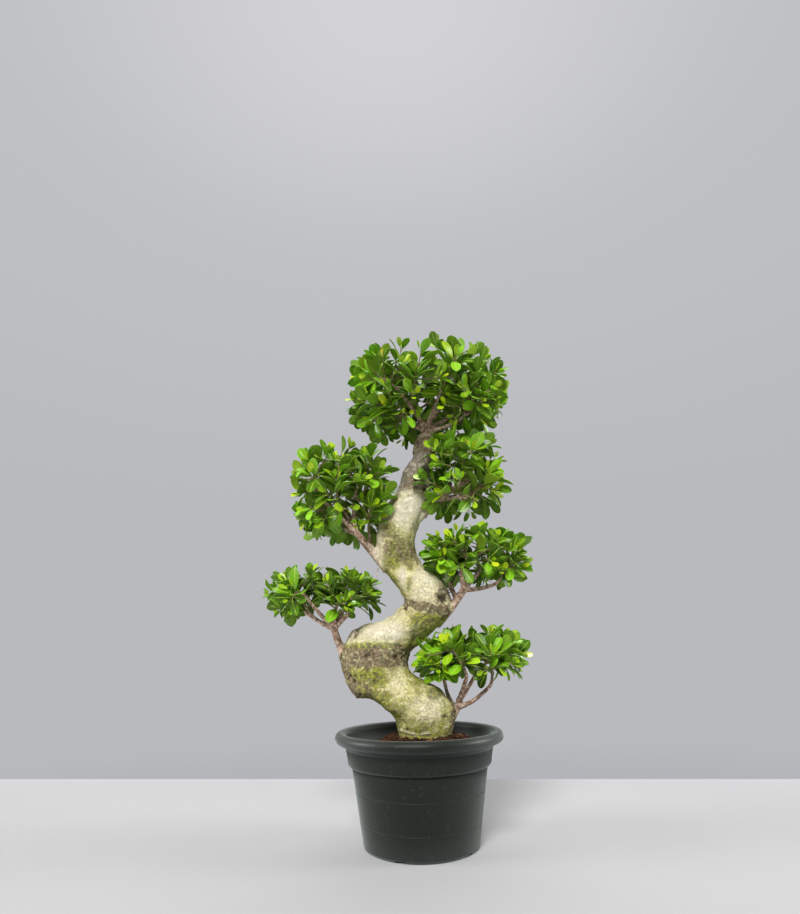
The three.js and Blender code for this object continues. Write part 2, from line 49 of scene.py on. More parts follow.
# Sizes that the part's source also has
SEAT_GAP = 0.3
POT = {
    "wall": 2.6, "floor": 6, "pad": 30, "base": (81.7, 4), "body": (96.4, 109.7),
    "shoulder": (98, 113), "neck_low": (102.1, 118), "neck_top": (104.9, 134),
    "foot": {"inner": 70, "outer": 78.5, "height": 3, "slope": 2},
    "rim": {"radius": 112.1, "height": 148.7, "roll": 7.9, "first": -100, "sweep": 290},
}
DRAIN = {"count": 5, "first": -112, "ring": 51, "radius": 6, "notch": (30, 14, 3)}
SOIL = {"edge_top": 126.6, "trunk_top": 149, "spread": 38}
TRUNK_BOTTOM = 96
LUMP_SIZE = 0.022
LUMP_FULL_FROM = 0.08
LUMPS = [(3, 23, 1), (5, -41, 0.7)]
LIMB = {"fork": 3.6, "end": 2.5}
TWIG = {"length": 50, "shortest": 40, "stalk": 11, "start": 2.3, "tip": 1.5, "node": 1.8}
LEAF = {"length": 36, "width": 20, "petiole": 6}
LEAVES_PER_SPRAY = 8
FILL = {"highest": 0.93, "reach": 27, "fullness": 0.8}
FORK = {"first_step": 3, "steps": 10, "lift": 0.4, "bend_cost": 40}
SPIRAL = {"first": 0.6, "bare": 7, "crowding": 0.8}
LEAN = {"low": 76, "change": 38, "spread": 14, "least": 34, "give_way": 2, "swing": 0.16}
LEAF_LIFT = 0.18
LEAF_FACING_UP = 0.6
GROWTH = {"young": 0.72, "least": 0.86, "spread": 0.22}
DROOP = {"least": 0.1, "spread": 0.2}
DRAWN_FOR = {"turn": 1, "lean": 2, "length": 3, "droop": 4, "age": 5, "shade_and_hue": 6}
CHOICES = 9

# The trunk's left and right edge seen from the front, from the soil to the sawn top:
# left x, left z, right x, right z, half depth, and how far its middle lies back in y.
TRUNK_EDGES = [
    (-29, 152, 48, 152, 38.5, 0), (-33, 168, 50, 164, 39, -2), (-39, 179, 51, 182, 40, -4),
    (-50, 188, 43, 198, 40, -5), (-63, 199, 29, 216, 39, -4), (-88, 211, -3, 234, 38, 2),
    (-100, 222, -12, 244, 40, 5), (-109, 241, -14, 253, 42, 6), (-112, 261, -13, 260, 42, 6),
    (-106, 282, -10, 266, 39, 5), (-96, 298, -2, 273, 36, 3), (-77, 308, 7, 280, 33, 1),
    (-52, 313, 18, 290, 31, -1), (-33, 322, 29, 300, 30, -4), (-22, 332, 39, 309, 30, -7),
    (-16, 338, 48, 321, 30, -8), (-17, 343, 51, 337, 30, -8), (-21, 351, 48, 354, 30, -7),
    (-28, 365, 38, 371, 29, -5), (-47, 392, 12, 395, 27, 0), (-55, 410, 4, 412, 27.5, 2),
    (-57, 431, 1, 429, 28, 3), (-55, 451, 4, 445, 28, 4), (-47, 471, 12, 464, 28, 3),
    (-36, 493, 21, 487, 27, 1), (-22, 514, 27, 513, 24, -1), (-12, 542, 28, 541, 20, -3),
    (3, 568, 34, 568, 15, -2), (7, 585, 35, 584, 13, -1), (10, 598, 33, 597, 11, -2),
]

# The six clumps of foliage, each with the bough it hangs on and the limbs that fork from it.
CLUMPS = [
    {
        "name": "crown", "centre": (26, 0, 663), "half": (127, 95, 80), "lowest": -0.8,
        "sprays": 14, "phase": 20,
        "bough": [(22, -2, 585), (24, -3, 600), (23, -3, 611)], "bough_radius": (9, 6.5),
        "limbs": [
            [(23, -3, 608), (2, -24, 634), (-26, -50, 660)],
            [(23, -3, 608), (38, -22, 636), (52, -52, 672)],
            [(23, -3, 606), (-14, -16, 610), (-62, -22, 640)],
            [(23, -3, 604), (56, -16, 598), (104, -26, 636)],
            [(23, -3, 608), (8, 30, 648), (-20, 54, 700)],
            [(23, -3, 608), (42, 24, 644), (76, 52, 700)],
            [(23, -3, 608), (20, 0, 650), (20, -8, 712)],
            [(23, -3, 606), (60, 10, 626), (116, 14, 676)],
            [(23, -3, 606), (-12, 12, 632), (-58, 14, 678)],
        ],
    },
    {
        "name": "upper_left", "centre": (-103, 0, 507), "half": (84, 75, 84), "lowest": -0.75,
        "sprays": 9, "phase": 75,
        "bough": [(-40, 0, 392), (-66, -8, 420), (-86, -12, 445)], "bough_radius": (8, 5.5),
        "limbs": [
            [(-85, -12, 443), (-112, -24, 472), (-150, -34, 506)],
            [(-85, -12, 443), (-96, -10, 478), (-80, -6, 530)],
            [(-85, -12, 443), (-112, 0, 456), (-152, 16, 482)],
            [(-85, -12, 443), (-104, 10, 478), (-120, 44, 530)],
            [(-63, -8, 419), (-70, -26, 440), (-62, -46, 484)],
            [(-63, -8, 419), (-72, 14, 446), (-60, 40, 490)],
        ],
    },
    {
        "name": "upper_right", "centre": (70, 0, 531), "half": (81, 72, 70), "lowest": -0.8,
        "sprays": 7, "phase": 140,
        "bough": [(-4, 0, 458), (22, -6, 476), (45, -12, 501)], "bough_radius": (7, 4.8),
        "limbs": [
            [(44, -12, 500), (52, -20, 520), (58, -40, 556)],
            [(44, -12, 500), (72, -8, 512), (104, 2, 540)],
            [(36, -10, 491), (74, -16, 500), (110, -20, 482)],
            [(44, -12, 500), (62, 10, 524), (84, 34, 552)],
            [(36, -10, 491), (42, 12, 520), (54, 34, 566)],
            [(44, -12, 500), (80, -24, 518), (112, -36, 530)],
        ],
    },
    {
        "name": "middle_right", "centre": (92, 0, 404), "half": (85, 72, 55), "lowest": -0.55,
        "sprays": 7, "phase": 10,
        "bough": [(28, -8, 308), (52, -9, 326), (72, -14, 358)], "bough_radius": (8, 5.2),
        "limbs": [
            [(71, -14, 356), (84, -26, 372), (98, -44, 398)],
            [(71, -14, 356), (104, -10, 354), (140, -2, 374)],
            [(60, -12, 342), (50, 2, 372), (34, 16, 398)],
            [(71, -14, 356), (66, -22, 384), (64, -38, 412)],
            [(71, -14, 356), (92, 6, 380), (116, 30, 404)],
            [(71, -14, 356), (72, 10, 384), (76, 36, 412)],
        ],
    },
    {
        "name": "middle_left", "centre": (-137, 0, 353), "half": (92, 72, 52), "lowest": -0.5,
        "sprays": 8, "phase": 50,
        "bough": [(-90, 4, 240), (-113, 2, 270), (-121, -4, 305)], "bough_radius": (8, 5.2),
        "limbs": [
            [(-121, -4, 303), (-140, -16, 324), (-160, -34, 352)],
            [(-121, -4, 303), (-150, 8, 316), (-186, 22, 346)],
            [(-121, -4, 303), (-118, -6, 325), (-119, -14, 358)],
            [(-121, -4, 303), (-100, -14, 322), (-78, -28, 344)],
            [(-121, -4, 303), (-112, 14, 326), (-98, 34, 356)],
            [(-121, -4, 303), (-130, 12, 326), (-142, 36, 356)],
        ],
    },
    {
        "name": "lower_right", "centre": (78, 0, 260), "half": (88, 72, 48), "lowest": -0.5,
        "sprays": 7, "phase": 100,
        "bough": [(32, 2, 158), (54, 0, 172), (60, -6, 200)], "bough_radius": (7.5, 5),
        "limbs": [
            [(58, -4, 188), (84, -10, 192), (116, -18, 232)],
            [(57, -3, 182), (40, 14, 200), (40, 18, 236)],
            [(60, -6, 198), (66, -26, 224), (76, -40, 252)],
            [(60, -6, 198), (80, 10, 220), (98, 30, 248)],
            [(60, -6, 198), (46, -24, 214), (30, -38, 240)],
        ],
    },
]


def lerp(low, high, share):
    return low + (high - low) * share


def smooth_step(low, high, value):
    share = np.clip((value - low) / (high - low), 0, 1)
    return share * share * (3 - 2 * share)


def unit(vector):
    return vector / np.linalg.norm(vector)


def draw(first, second, what):
    """A number from 0 to 1 that depends only on what it is drawn for."""
    value = math.sin(first * 12.9898 + second * 78.233 + what * 37.719) * 43758.5453
    return value - math.floor(value)


class Bezier:
    """A curve through its first and last point, drawn towards those between them."""

    NEAR = 0.0001

    def __init__(self, *points):
        self.points = [np.array(point, float) for point in points]

    def at(self, t):
        points = self.points
        while len(points) > 1:
            points = [lerp(one, other, t) for one, other in zip(points, points[1:])]
        return points[0]

    def heading(self, t):
        return unit(self.at(min(1, t + self.NEAR)) - self.at(max(0, t - self.NEAR)))

    def aside(self, t, turn):
        """The direction square to the curve at t, turned about it from its reference axis."""
        reference = np.zeros(3)
        reference[np.argmin(np.abs(self.at(1) - self.at(0)))] = 1
        heading = self.heading(t)
        across = unit(np.cross(heading, reference))
        return across * math.cos(turn) + np.cross(heading, across) * math.sin(turn)


SAME_PLACE = 0.0001


def centripetal(points, t):
    """The place at t on the smooth centripetal curve through the points."""
    points = np.array(points, float)
    last = len(points) - 1
    row = min(int(last * t), last - 1)
    weight = last * t - row
    before = points[row - 1] if row > 0 else 2 * points[0] - points[1]
    after = points[row + 2] if row + 2 <= last else 2 * points[last] - points[last - 1]
    four = [before, points[row], points[row + 1], after]
    gaps = [math.sqrt(np.linalg.norm(one - other)) for one, other in zip(four, four[1:])]
    gaps[1] = gaps[1] if gaps[1] > SAME_PLACE else 1
    gaps = [gap if gap > SAME_PLACE else gaps[1] for gap in gaps]
    runs = [(other - one) for one, other in zip(four, four[1:])]
    start = runs[0] / gaps[0] - (four[2] - four[0]) / (gaps[0] + gaps[1]) + runs[1] / gaps[1]
    end = runs[1] / gaps[1] - (four[3] - four[1]) / (gaps[1] + gaps[2]) + runs[2] / gaps[2]
    start *= gaps[1]
    end *= gaps[1]
    square = weight * weight
    bend = (3 * runs[1] - 2 * start - end) * square
    return four[1] + start * weight + bend + (start + end - 2 * runs[1]) * square * weight


# Modelling


def clear_selection():
    bpy.ops.object.select_all(action="DESELECT")


def take(piece):
    """Makes a piece the one that the next operators act on."""
    clear_selection()
    piece.select_set(True)
    bpy.context.view_layer.objects.active = piece


def pick(test):
    """Selects, in edit mode, the vertices whose place passes the test."""
    mesh = bpy.context.edit_object.data
    edited = bmesh.from_edit_mesh(mesh)
    for vertex in edited.verts:
        vertex.select = test(vertex.co)
    edited.select_flush_mode()
    bmesh.update_edit_mesh(mesh)


def apply_modifier(piece, kind, **settings):
    take(piece)
    modifier = piece.modifiers.new(kind.title(), kind)
    for name, value in settings.items():
        setattr(modifier, name, value)
    bpy.ops.object.modifier_apply(modifier=modifier.name)


def places_of(mesh, what="co"):
    """The places of a mesh's vertices in millimetres, or their normals times a thousand."""
    places = np.empty(len(mesh.vertices) * 3)
    mesh.vertices.foreach_get(what, places)
    return places.reshape(-1, 3) / MM


def faces_of(mesh):
    return [list(face.vertices) for face in mesh.polygons]


def put_places(mesh, places):
    mesh.vertices.foreach_set("co", (places * MM).astype(np.float32).ravel())
    mesh.update()


def link(name, data):
    """A new object for some data, in the scene."""
    made = bpy.data.objects.new(name, data)
    bpy.context.scene.collection.objects.link(made)
    return made


def new_piece(name, places, faces):
    """A mesh piece made of places in millimetres and faces."""
    mesh = bpy.data.meshes.new(name)
    mesh.from_pydata((np.asarray(places) * MM).tolist(), [], faces)
    return link(name, mesh)


def paint(mesh, name, values):
    """Keeps a value at each vertex, for a material to read."""
    attribute = mesh.attributes.new(name, "FLOAT", "POINT")
    attribute.data.foreach_set("value", np.asarray(values, np.float32))


def finish(piece, material, slot, angle=None, node=None):
    """Gives a piece its material, smooths its edges up to an angle, and lets it stand for a node."""
    piece.data.materials.clear()
    piece.data.materials.append(material)
    take(piece)
    if angle is None:
        bpy.ops.object.shade_smooth()
    else:
        bpy.ops.object.shade_smooth_by_angle(angle=math.radians(angle))
    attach(piece, "root")
    if node:
        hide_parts(node)


def skin(rings, sides):
    """The faces round so many rings of vertices, with a flat face at each end."""
    faces = [list(range(sides))[::-1]]
    top = (rings - 1) * sides
    for low in range(0, top, sides):
        for side in range(sides):
            after = (side + 1) % sides
            faces.append([low + side, low + after, low + sides + after, low + sides + side])
    return faces + [list(range(top, top + sides))]


def tube(curve, shares, radii, sides):
    """The places and faces of a closed tube along a curve."""
    places = []
    for share, radius in zip(shares, radii):
        middle = curve.at(share)
        for side in range(sides):
            places.append(middle + curve.aside(share, side / sides * FULL_TURN) * radius)
    return np.array(places), skin(len(shares), sides)


def merged(meshes):
    """The places and faces of several meshes as those of one."""
    faces = []
    first = 0
    for places, own in meshes:
        faces += [[first + corner for corner in face] for face in own]
        first += len(places)
    return np.vstack([places for places, own in meshes]), faces


def search_tree(places, faces):
    return BVHTree.FromPolygons(places.tolist(), faces)


# Materials


class Nodes:
    """A tree of shader nodes. What is added gives its outputs, or its one output."""

    def __init__(self, tree):
        self.tree = tree

    def fill(self, made, inputs):
        """Gives a node's inputs numbers, colours or other nodes' outputs."""
        for name, value in inputs.items():
            socket = made.inputs[name]
            if isinstance(value, bpy.types.NodeSocket):
                self.tree.links.new(value, socket)
            else:
                socket.default_value = (*value, 1) if socket.type == "RGBA" else value

    def put(self, kind, inputs=None, **settings):
        made = self.tree.nodes.new("ShaderNode" + kind)
        for name, value in settings.items():
            setattr(made, name, value)
        self.fill(made, inputs or {})
        return made.outputs

    def calc(self, operation, one, other=0.0):
        return self.put("Math", {0: one, 1: other}, operation=operation)[0]

    def times(self, one, other):
        return self.calc("MULTIPLY", one, other)

    def plus(self, one, other):
        return self.calc("ADD", one, other)

    def less(self, one, other):
        return self.calc("SUBTRACT", one, other)

    def off(self, value, middle):
        """How far a value lies from a middle one."""
        return self.calc("ABSOLUTE", self.less(value, middle))

    def between(self, value, low, high, to_low=0.0, to_high=1.0):
        """A value carried smoothly from one range to another and held at its ends."""
        inputs = {"Value": value, 1: low, 2: high, 3: to_low, 4: to_high}
        return self.put("MapRange", inputs, interpolation_type="SMOOTHSTEP")[0]

    def blend(self, share, one, other):
        """Two colours mixed by a share."""
        return self.put("Mix", {0: share, 6: one, 7: other}, data_type="RGBA")[2]

    def coats(self, colour, *coats):
        """Coats of colour, one over the other. Each has its mask, how strong it is and its tone."""
        for mask, strength, tone in coats:
            colour = self.blend(mask if strength == 1 else self.times(mask, strength), colour, tone)
        return colour

    def cloud(self, inputs):
        return self.put("TexNoise", inputs)["Fac"]


def new_group(name, inputs, outputs):
    """A node group with named inputs, each with its usual value, and named outputs."""
    group = bpy.data.node_groups.new(name, "ShaderNodeTree")
    group.interface.new_socket("Vector", in_out="INPUT", socket_type="NodeSocketVector")
    for socket, value in inputs.items():
        made = group.interface.new_socket(socket, in_out="INPUT", socket_type="NodeSocketFloat")
        made.default_value = value
    for socket in outputs:
        group.interface.new_socket(socket, in_out="OUTPUT", socket_type="NodeSocketFloat")
    return Nodes(group), group.nodes.new("NodeGroupInput").outputs, group.nodes.new("NodeGroupOutput")


def make_mottle():
    """Irregular patches of any size, with soft or hard edges."""
    usual = {"Scale": 20, "Detail": 4, "Low": 0.4, "High": 0.6}
    nodes, given, result = new_group("mottle", usual, ["Mask", "Raw"])
    cloud = nodes.cloud({name: given[name] for name in ("Vector", "Scale", "Detail")} | {"Roughness": 0.6})
    nodes.fill(result, {"Mask": nodes.between(cloud, given["Low"], given["High"]), "Raw": cloud})
    return nodes.tree


def make_grain():
    """The height of a fine, slightly pitted grain."""
    nodes, given, result = new_group("grain", {"Scale": 400, "Pits": 0.5}, ["Height"])
    place, scale = given["Vector"], given["Scale"]
    fine = nodes.cloud({"Vector": place, "Scale": scale, "Detail": 3, "Roughness": 0.65})
    cell = nodes.put("TexVoronoi", {"Vector": place, "Scale": nodes.times(scale, 0.35)})["Distance"]
    pit = nodes.times(nodes.between(cell, 0, 0.35), given["Pits"])
    nodes.fill(result, {"Height": nodes.plus(fine, pit)})
    return nodes.tree


def make_fibre():
    """Thin wandering lines."""
    nodes, given, result = new_group("fibre", {"Scale": 100}, ["Mask"])
    place, scale = given["Vector"], given["Scale"]
    waves = nodes.cloud({"Vector": place, "Scale": scale, "Detail": 3, "Distortion": 1.2})
    nodes.fill(result, {"Mask": nodes.between(nodes.off(waves, 0.5), 0.03, 0.0)})
    return nodes.tree


GROUPS = {"mottle": make_mottle(), "grain": make_grain(), "fibre": make_fibre()}


class Finish(Nodes):
    """A material, whose patterns follow the place on the piece."""

    def __init__(self, name):
        self.material = bpy.data.materials.new(name)
        self.material.use_nodes = True
        super().__init__(self.material.node_tree)
        self.place = self.stretched((1, 1, 1))

    def stretched(self, scale):
        """The place on the piece, squeezed or stretched along its axes."""
        place = self.put("TexCoord")["Object"]
        return self.put("Mapping", {"Vector": place, "Scale": scale})["Vector"]

    def painted(self, name):
        return self.put("Attribute", attribute_name=name)["Fac"]

    def effect(self, name, place=None, **values):
        """Places one of the shared groups, with its own values."""
        made = self.tree.nodes.new("ShaderNodeGroup")
        made.node_tree = GROUPS[name]
        inputs = {socket.title(): value for socket, value in values.items()}
        self.fill(made, {"Vector": place or self.place} | inputs)
        return made.outputs

    def mottle(self, **values):
        return self.effect("mottle", **values)["Mask"]

    def grain(self, scale, pits):
        return self.effect("grain", scale=scale, pits=pits)["Height"]

    def surface(self, inputs, height=None, depth=0):
        """Sets the shader, and lets a height, from 0 to 1, stand out by so many millimetres."""
        if height:
            relief = {"Height": height, "Distance": depth * MM, "Strength": 1.0}
            inputs = inputs | {"Normal": self.put("Bump", relief)["Normal"]}
        self.fill(self.tree.nodes["Principled BSDF"], inputs)
        return self.material


LEAF_MARKS = ("age", "shade_and_hue", "stem", "under")


def leaf_material():
    leaf = Finish("leaf")
    split = leaf.put("SeparateXYZ", {"Vector": leaf.put("UVMap", uv_map="blade")["UV"]})
    across = leaf.off(leaf.times(split[0], 2.0), 1.0)
    midrib = leaf.between(across, 0.2, 0.05)
    slant = leaf.less(leaf.times(split[1], 8.0), leaf.times(across, 1.5))
    gap = leaf.off(leaf.calc("FRACT", slant), 0.5)
    vein = leaf.times(leaf.between(gap, 0.13, 0.02), leaf.between(across, 1.0, 0.8))
    margin = leaf.between(across, 0.9, 1.0)

    age, shade_and_hue, stem, under = [leaf.painted(name) for name in LEAF_MARKS]
    patches = leaf.mottle(scale=70, low=0.35, high=0.7)
    # Painted shade: leaves deep inside a clump have a low value in this mark and are painted a darker green;
    # it also holds each leaf's own tone.
    green = leaf.blend(shade_and_hue, (0.003, 0.024, 0.001), (0.270, 0.640, 0.014))
    bright = leaf.blend(shade_and_hue, (0.26, 0.52, 0.006), (0.60, 0.70, 0.010))
    bronzed = leaf.times(leaf.between(age, 0.9, 1.0), leaf.between(shade_and_hue, 0.82, 0.9))
    green = leaf.coats(
        green,
        (patches, 0.25, (0.16, 0.38, 0.006)),
        (leaf.between(age, 0.15, 0.85), 1, bright),
        (bronzed, 1, (0.50, 0.17, 0.03)),
        (vein, 0.2, (0.28, 0.48, 0.02)),
        (margin, 0.2, (0.34, 0.52, 0.02)),
        (midrib, 0.6, (0.44, 0.60, 0.06)),
        (under, 0.5, (0.22, 0.36, 0.04)),
    )
    shoot = leaf.blend(patches, (0.20, 0.15, 0.07), (0.28, 0.25, 0.10))
    stalk = leaf.blend(patches, (0.22, 0.30, 0.06), (0.33, 0.38, 0.11))
    shoot = leaf.blend(leaf.between(stem, 0.95, 0.6), shoot, stalk)
    gloss = leaf.plus(leaf.between(patches, 0, 1, 0.25, 0.36), leaf.times(under, 0.2))
    veins = leaf.less(1.0, leaf.calc("MAXIMUM", leaf.times(vein, 0.5), midrib))
    pucker = leaf.times(leaf.grain(260, 0.2), 0.35)
    return leaf.surface({
        "Base Color": leaf.blend(leaf.between(stem, 0.1, 0.3), green, shoot),
        "Roughness": leaf.plus(gloss, leaf.times(stem, 0.25)),
        "Subsurface Weight": 0.12,
        "Subsurface Radius": (0.35, 1.0, 0.15),
        "Subsurface Scale": 2 * MM,
        "Specular IOR Level": 0.2,
        # Painted highlight: only the outer, painted-lit leaves get a glossy coat.
        "Coat Weight": leaf.times(shade_and_hue, 0.8),
        "Coat Roughness": 0.22,
    }, leaf.plus(veins, pucker), 0.35)


def bark_material():
    bark = Finish("bark")
    specks = bark.effect("mottle", scale=210, low=0.42, high=0.58)
    clouds = bark.mottle(scale=38, low=0.38, high=0.62)
    blotches = bark.effect("mottle", scale=85, detail=6, low=0.42, high=0.62)
    fibres = bark.effect("fibre", bark.stretched((1, 1, 1.25)), scale=75)["Mask"]
    hairs = bark.effect("fibre", bark.stretched((1.1, 1.1, 0.8)), scale=150)["Mask"]
    flakes = bark.effect("mottle", scale=430, detail=5, low=0.44, high=0.57)
    speck, blotch, flake = specks["Mask"], blotches["Mask"], flakes["Mask"]

    def ragged(name, softness):
        """A painted patch whose edge is broken up by the mottling."""
        rough = bark.plus(bark.times(specks["Raw"], 0.6), bark.times(blotches["Raw"], 0.4))
        value = bark.plus(bark.painted(name), bark.times(bark.less(rough, 0.5), 2.6))
        return bark.between(value, 0.5 - softness, 0.5 + softness)

    cream = bark.coats(
        bark.blend(clouds, (0.66, 0.58, 0.33), (0.80, 0.72, 0.52)),
        (speck, 0.3, (0.52, 0.46, 0.26)),
        (flake, 0.3, (0.44, 0.38, 0.17)),
        (bark.painted("algae"), 0.9, (0.60, 0.55, 0.13)),
        (fibres, 0.6, (0.30, 0.25, 0.07)),
        (hairs, 0.5, (0.88, 0.82, 0.62)),
        (blotch, 0.4, (0.58, 0.55, 0.17)),
    )
    algae = bark.coats(
        bark.blend(speck, (0.06, 0.065, 0.010), (0.44, 0.45, 0.04)),
        (clouds, 0.5, (0.22, 0.20, 0.07)),
        (flake, 0.45, (0.06, 0.06, 0.012)),
        (hairs, 0.5, (0.62, 0.58, 0.26)),
    )
    grey = bark.coats(
        bark.blend(speck, (0.23, 0.19, 0.14), (0.43, 0.37, 0.28)),
        (flake, 0.4, (0.11, 0.095, 0.065)),
        (fibres, 0.5, (0.10, 0.085, 0.06)),
    )
    corky = bark.coats(
        bark.blend(speck, (0.055, 0.036, 0.018), (0.31, 0.235, 0.14)),
        (clouds, 0.5, (0.20, 0.19, 0.07)),
        (blotch, 0.45, (0.30, 0.165, 0.11)),
        (flake, 0.5, (0.045, 0.035, 0.016)),
        (hairs, 0.6, (0.55, 0.49, 0.30)),
        (bark.painted("crest"), 1, (0.56, 0.52, 0.28)),
    )
    thin = bark.blend(speck, (0.36, 0.215, 0.145), (0.82, 0.60, 0.46))
    colour = bark.coats(
        cream,
        (ragged("algae", 0.22), 0.95, algae),
        (ragged("grey", 0.2), 1, grey),
        (ragged("cork", 0.2), 0.95, corky),
        (bark.painted("limb"), 1, bark.coats(thin, (fibres, 0.4, (0.12, 0.075, 0.05)))),
        # Bare pale wood and the scar, and a painted highlight on the upper trunk.
        (bark.painted("pale"), 1, (0.86, 0.79, 0.60)),
        # Painted shade, near black, in the cork's crevices, in hollow knots and along the crease.
        (ragged("crevice_shade", 0.35), 0.85, (0.034, 0.02, 0.01)),
    )
    wrinkles = bark.cloud({"Vector": bark.stretched((110, 110, 190)), "Scale": 1.0, "Detail": 4})
    height = bark.plus(bark.times(wrinkles, 0.4), bark.times(bark.grain(330, 0.6), 0.6))
    height = bark.less(height, bark.times(fibres, 0.35))
    height = bark.plus(height, bark.times(hairs, 0.25))
    height = bark.less(height, bark.times(flakes["Raw"], 0.5))
    return bark.surface({
        "Base Color": colour,
        "Roughness": bark.between(speck, 0, 1, 0.62, 0.85),
        "Specular IOR Level": 0.3,
    }, height, 1.8)


def plastic_material():
    plastic = Finish("moulded plastic")
    clouds = plastic.mottle(scale=14, low=0.35, high=0.65)
    specks = plastic.mottle(scale=240, detail=2, low=0.62, high=0.72)
    # Dust inside the pot and low down, and a painted highlight that makes the rim lighter at its left and
    # right sides.
    dust_and_rim_highlight = plastic.times(plastic.painted("dust_and_rim_highlight"), plastic.between(clouds, 0, 1, 0.3, 0.45))
    colour = plastic.coats(
        plastic.blend(clouds, (0.0082, 0.0098, 0.0076), (0.0098, 0.0116, 0.0092)),
        (specks, 0.2, (0.09, 0.09, 0.08)),
        (dust_and_rim_highlight, 1, (0.085, 0.095, 0.09)),
    )
    return plastic.surface({
        "Base Color": colour,
        "Roughness": plastic.between(clouds, 0, 1, 0.44, 0.5),
        "Specular IOR Level": 0.15,
        # Painted highlight: the glossy coat lies only on the rim, mostly on its left and right sides.
        "Coat Weight": plastic.painted("rim"),
        "Coat Roughness": 0.42,
        "Sheen Weight": 0.3,
        "Sheen Roughness": 0.45,
        "Sheen Tint": (0.75, 0.85, 0.78),
    }, plastic.grain(700, 0.3), 0.12)


def soil_material():
    mix = Finish("potting mix")
    tone = mix.painted("tone")
    specks = mix.mottle(scale=320, low=0.35, high=0.65)
    colour = mix.coats(
        mix.blend(tone, (0.008, 0.0035, 0.002), (0.075, 0.027, 0.009)),
        (mix.between(tone, 0.9, 0.98), 1, (0.24, 0.14, 0.06)),
        (specks, 0.6, (0.036, 0.015, 0.008)),
    )
    return mix.surface({
        "Base Color": colour,
        "Roughness": mix.between(specks, 0, 1, 0.75, 0.95),
        "Specular IOR Level": 0.15,
    }, mix.grain(500, 0.8), 0.8)


# Leafy sprays

LEAF_STATIONS = [(0.38, 0.94), (0.74, 0.8)]
MATCH = 0.03


def outline_place(clump, rise, step, margin, depth=1):
    """A direction out of a clump's middle, and the place so far within the clump's outline."""
    level = math.sqrt(1 - rise * rise)
    turn = math.radians(clump["phase"]) + step * GOLDEN_ANGLE
    outward = np.array([level * math.cos(turn), level * math.sin(turn), rise])
    fuller = np.sign(outward) * np.abs(outward) ** FILL["fullness"]
    return outward, np.array(clump["centre"]) + (np.array(clump["half"]) - margin) * fuller * depth


def spray_tips(clump):
    """Where the sprays of a clump end, from the top one down."""
    for number in range(clump["sprays"]):
        rise = lerp(FILL["highest"], clump["lowest"], (number + 0.5) / clump["sprays"])
        yield outline_place(clump, rise, number, FILL["reach"])


def path_to(tip, curve, t, follow, away, climb):
    """A path from a curve to a tip, its length, and how well its start and end lie in line with it."""
    root = curve.at(t)
    heading = curve.heading(t)
    length = np.linalg.norm(tip - root)
    to_tip = (tip - root) / length
    lead = unit(heading * follow + to_tip)
    finish = unit(away + to_tip + UP * climb)
    path = Bezier(root, root + lead * length / 3, tip - finish * length / 3, tip)
    return path, length, heading @ to_tip, finish @ to_tip


def spray_ways(limbs, outward, tip):
    """The ways in which a spray can spring from the limbs, the most natural one first."""
    ways = []
    for number, limb in enumerate(limbs):
        for step in range(FORK["first_step"], FORK["steps"] + 1):
            t = step / FORK["steps"]
            path, length, start_fit, end_fit = path_to(tip, limb, t, 1, outward, FORK["lift"])
            start = max(TWIG["stalk"] / length, 1 - TWIG["length"] / length)
            cost = abs(length - TWIG["length"]) + FORK["bend_cost"] * (2 - start_fit - end_fit)
            if length > TWIG["shortest"]:
                ways.append({"limb": number, "t": t, "path": path, "length": length,
                             "start": start, "cost": cost, "leaves": LEAVES_PER_SPRAY})
    return sorted(ways, key=lambda way: way["cost"])


def leaf_node(way, seed, leaf):
    """Where along its spray a leaf springs, and the turn about the twig that it faces."""
    share = (leaf + SPIRAL["first"]) / way["leaves"]
    lowest = way["start"] + SPIRAL["bare"] / way["length"]
    t = lerp(lowest, 1 - TWIG["node"] / way["length"], share ** SPIRAL["crowding"])
    return t, share, leaf * GOLDEN_ANGLE + FULL_TURN * draw(seed, 0, DRAWN_FOR["turn"])


def grown(root, along, towards, length, droop):
    """A leaf's root, the way it runs, the sides it faces, its length and its droop."""
    face = unit(towards - along * (towards @ along))
    return {"root": root, "along": along, "face": face, "side": np.cross(along, face),
            "length": length, "droop": droop}


def leaf_place(way, seed, leaf, choice):
    """How a leaf grows at its place along a twig, when it has given way to others so many times."""
    t, share, turn = leaf_node(way, seed, leaf)
    axis = way["path"].heading(t)
    swing = math.ceil(choice / 2) * (LEAN["swing"] if choice % 2 else -LEAN["swing"])
    drawn_lean = LEAN["spread"] * (draw(seed, leaf, DRAWN_FOR["lean"]) - 0.5)
    degrees = LEAN["low"] - LEAN["change"] * share + drawn_lean - LEAN["give_way"] * choice
    lean = math.radians(max(LEAN["least"], degrees))
    outward = way["path"].aside(t, turn + swing)
    along = unit(axis * math.cos(lean) + outward * math.sin(lean) + UP * LEAF_LIFT)
    age = GROWTH["young"] if leaf == way["leaves"] - 1 else 1
    size = GROWTH["least"] + GROWTH["spread"] * draw(seed, leaf, DRAWN_FOR["length"])
    length = LEAF["length"] * age * size * way.get("size", 1)
    droop = DROOP["least"] + DROOP["spread"] * draw(seed, leaf, DRAWN_FOR["droop"])
    return grown(way["path"].at(t), along, axis + UP * LEAF_FACING_UP, length, droop)


def leaf_tip(place):
    reach = LEAF["petiole"] + place["length"]
    return place["root"] + place["along"] * reach - place["face"] * place["droop"] * place["length"]


def vertex_finder(node):
    """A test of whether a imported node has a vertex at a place."""
    places = places_of(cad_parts[node].data)
    tree = kdtree.KDTree(len(places))
    for index, place in enumerate(places):
        tree.insert(place, index)
    tree.balance()
    return lambda place: tree.find(place)[2] < MATCH


def twig_corner(way, seed):
    """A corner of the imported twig's lower end, which tells one way from another."""
    path, start = way["path"], way["start"]
    turn = leaf_node(way, seed, 0)[2] - math.pi / 3
    return path.at(start) + path.aside(start, turn) * TWIG["start"] + path.heading(start) * SEAT_GAP


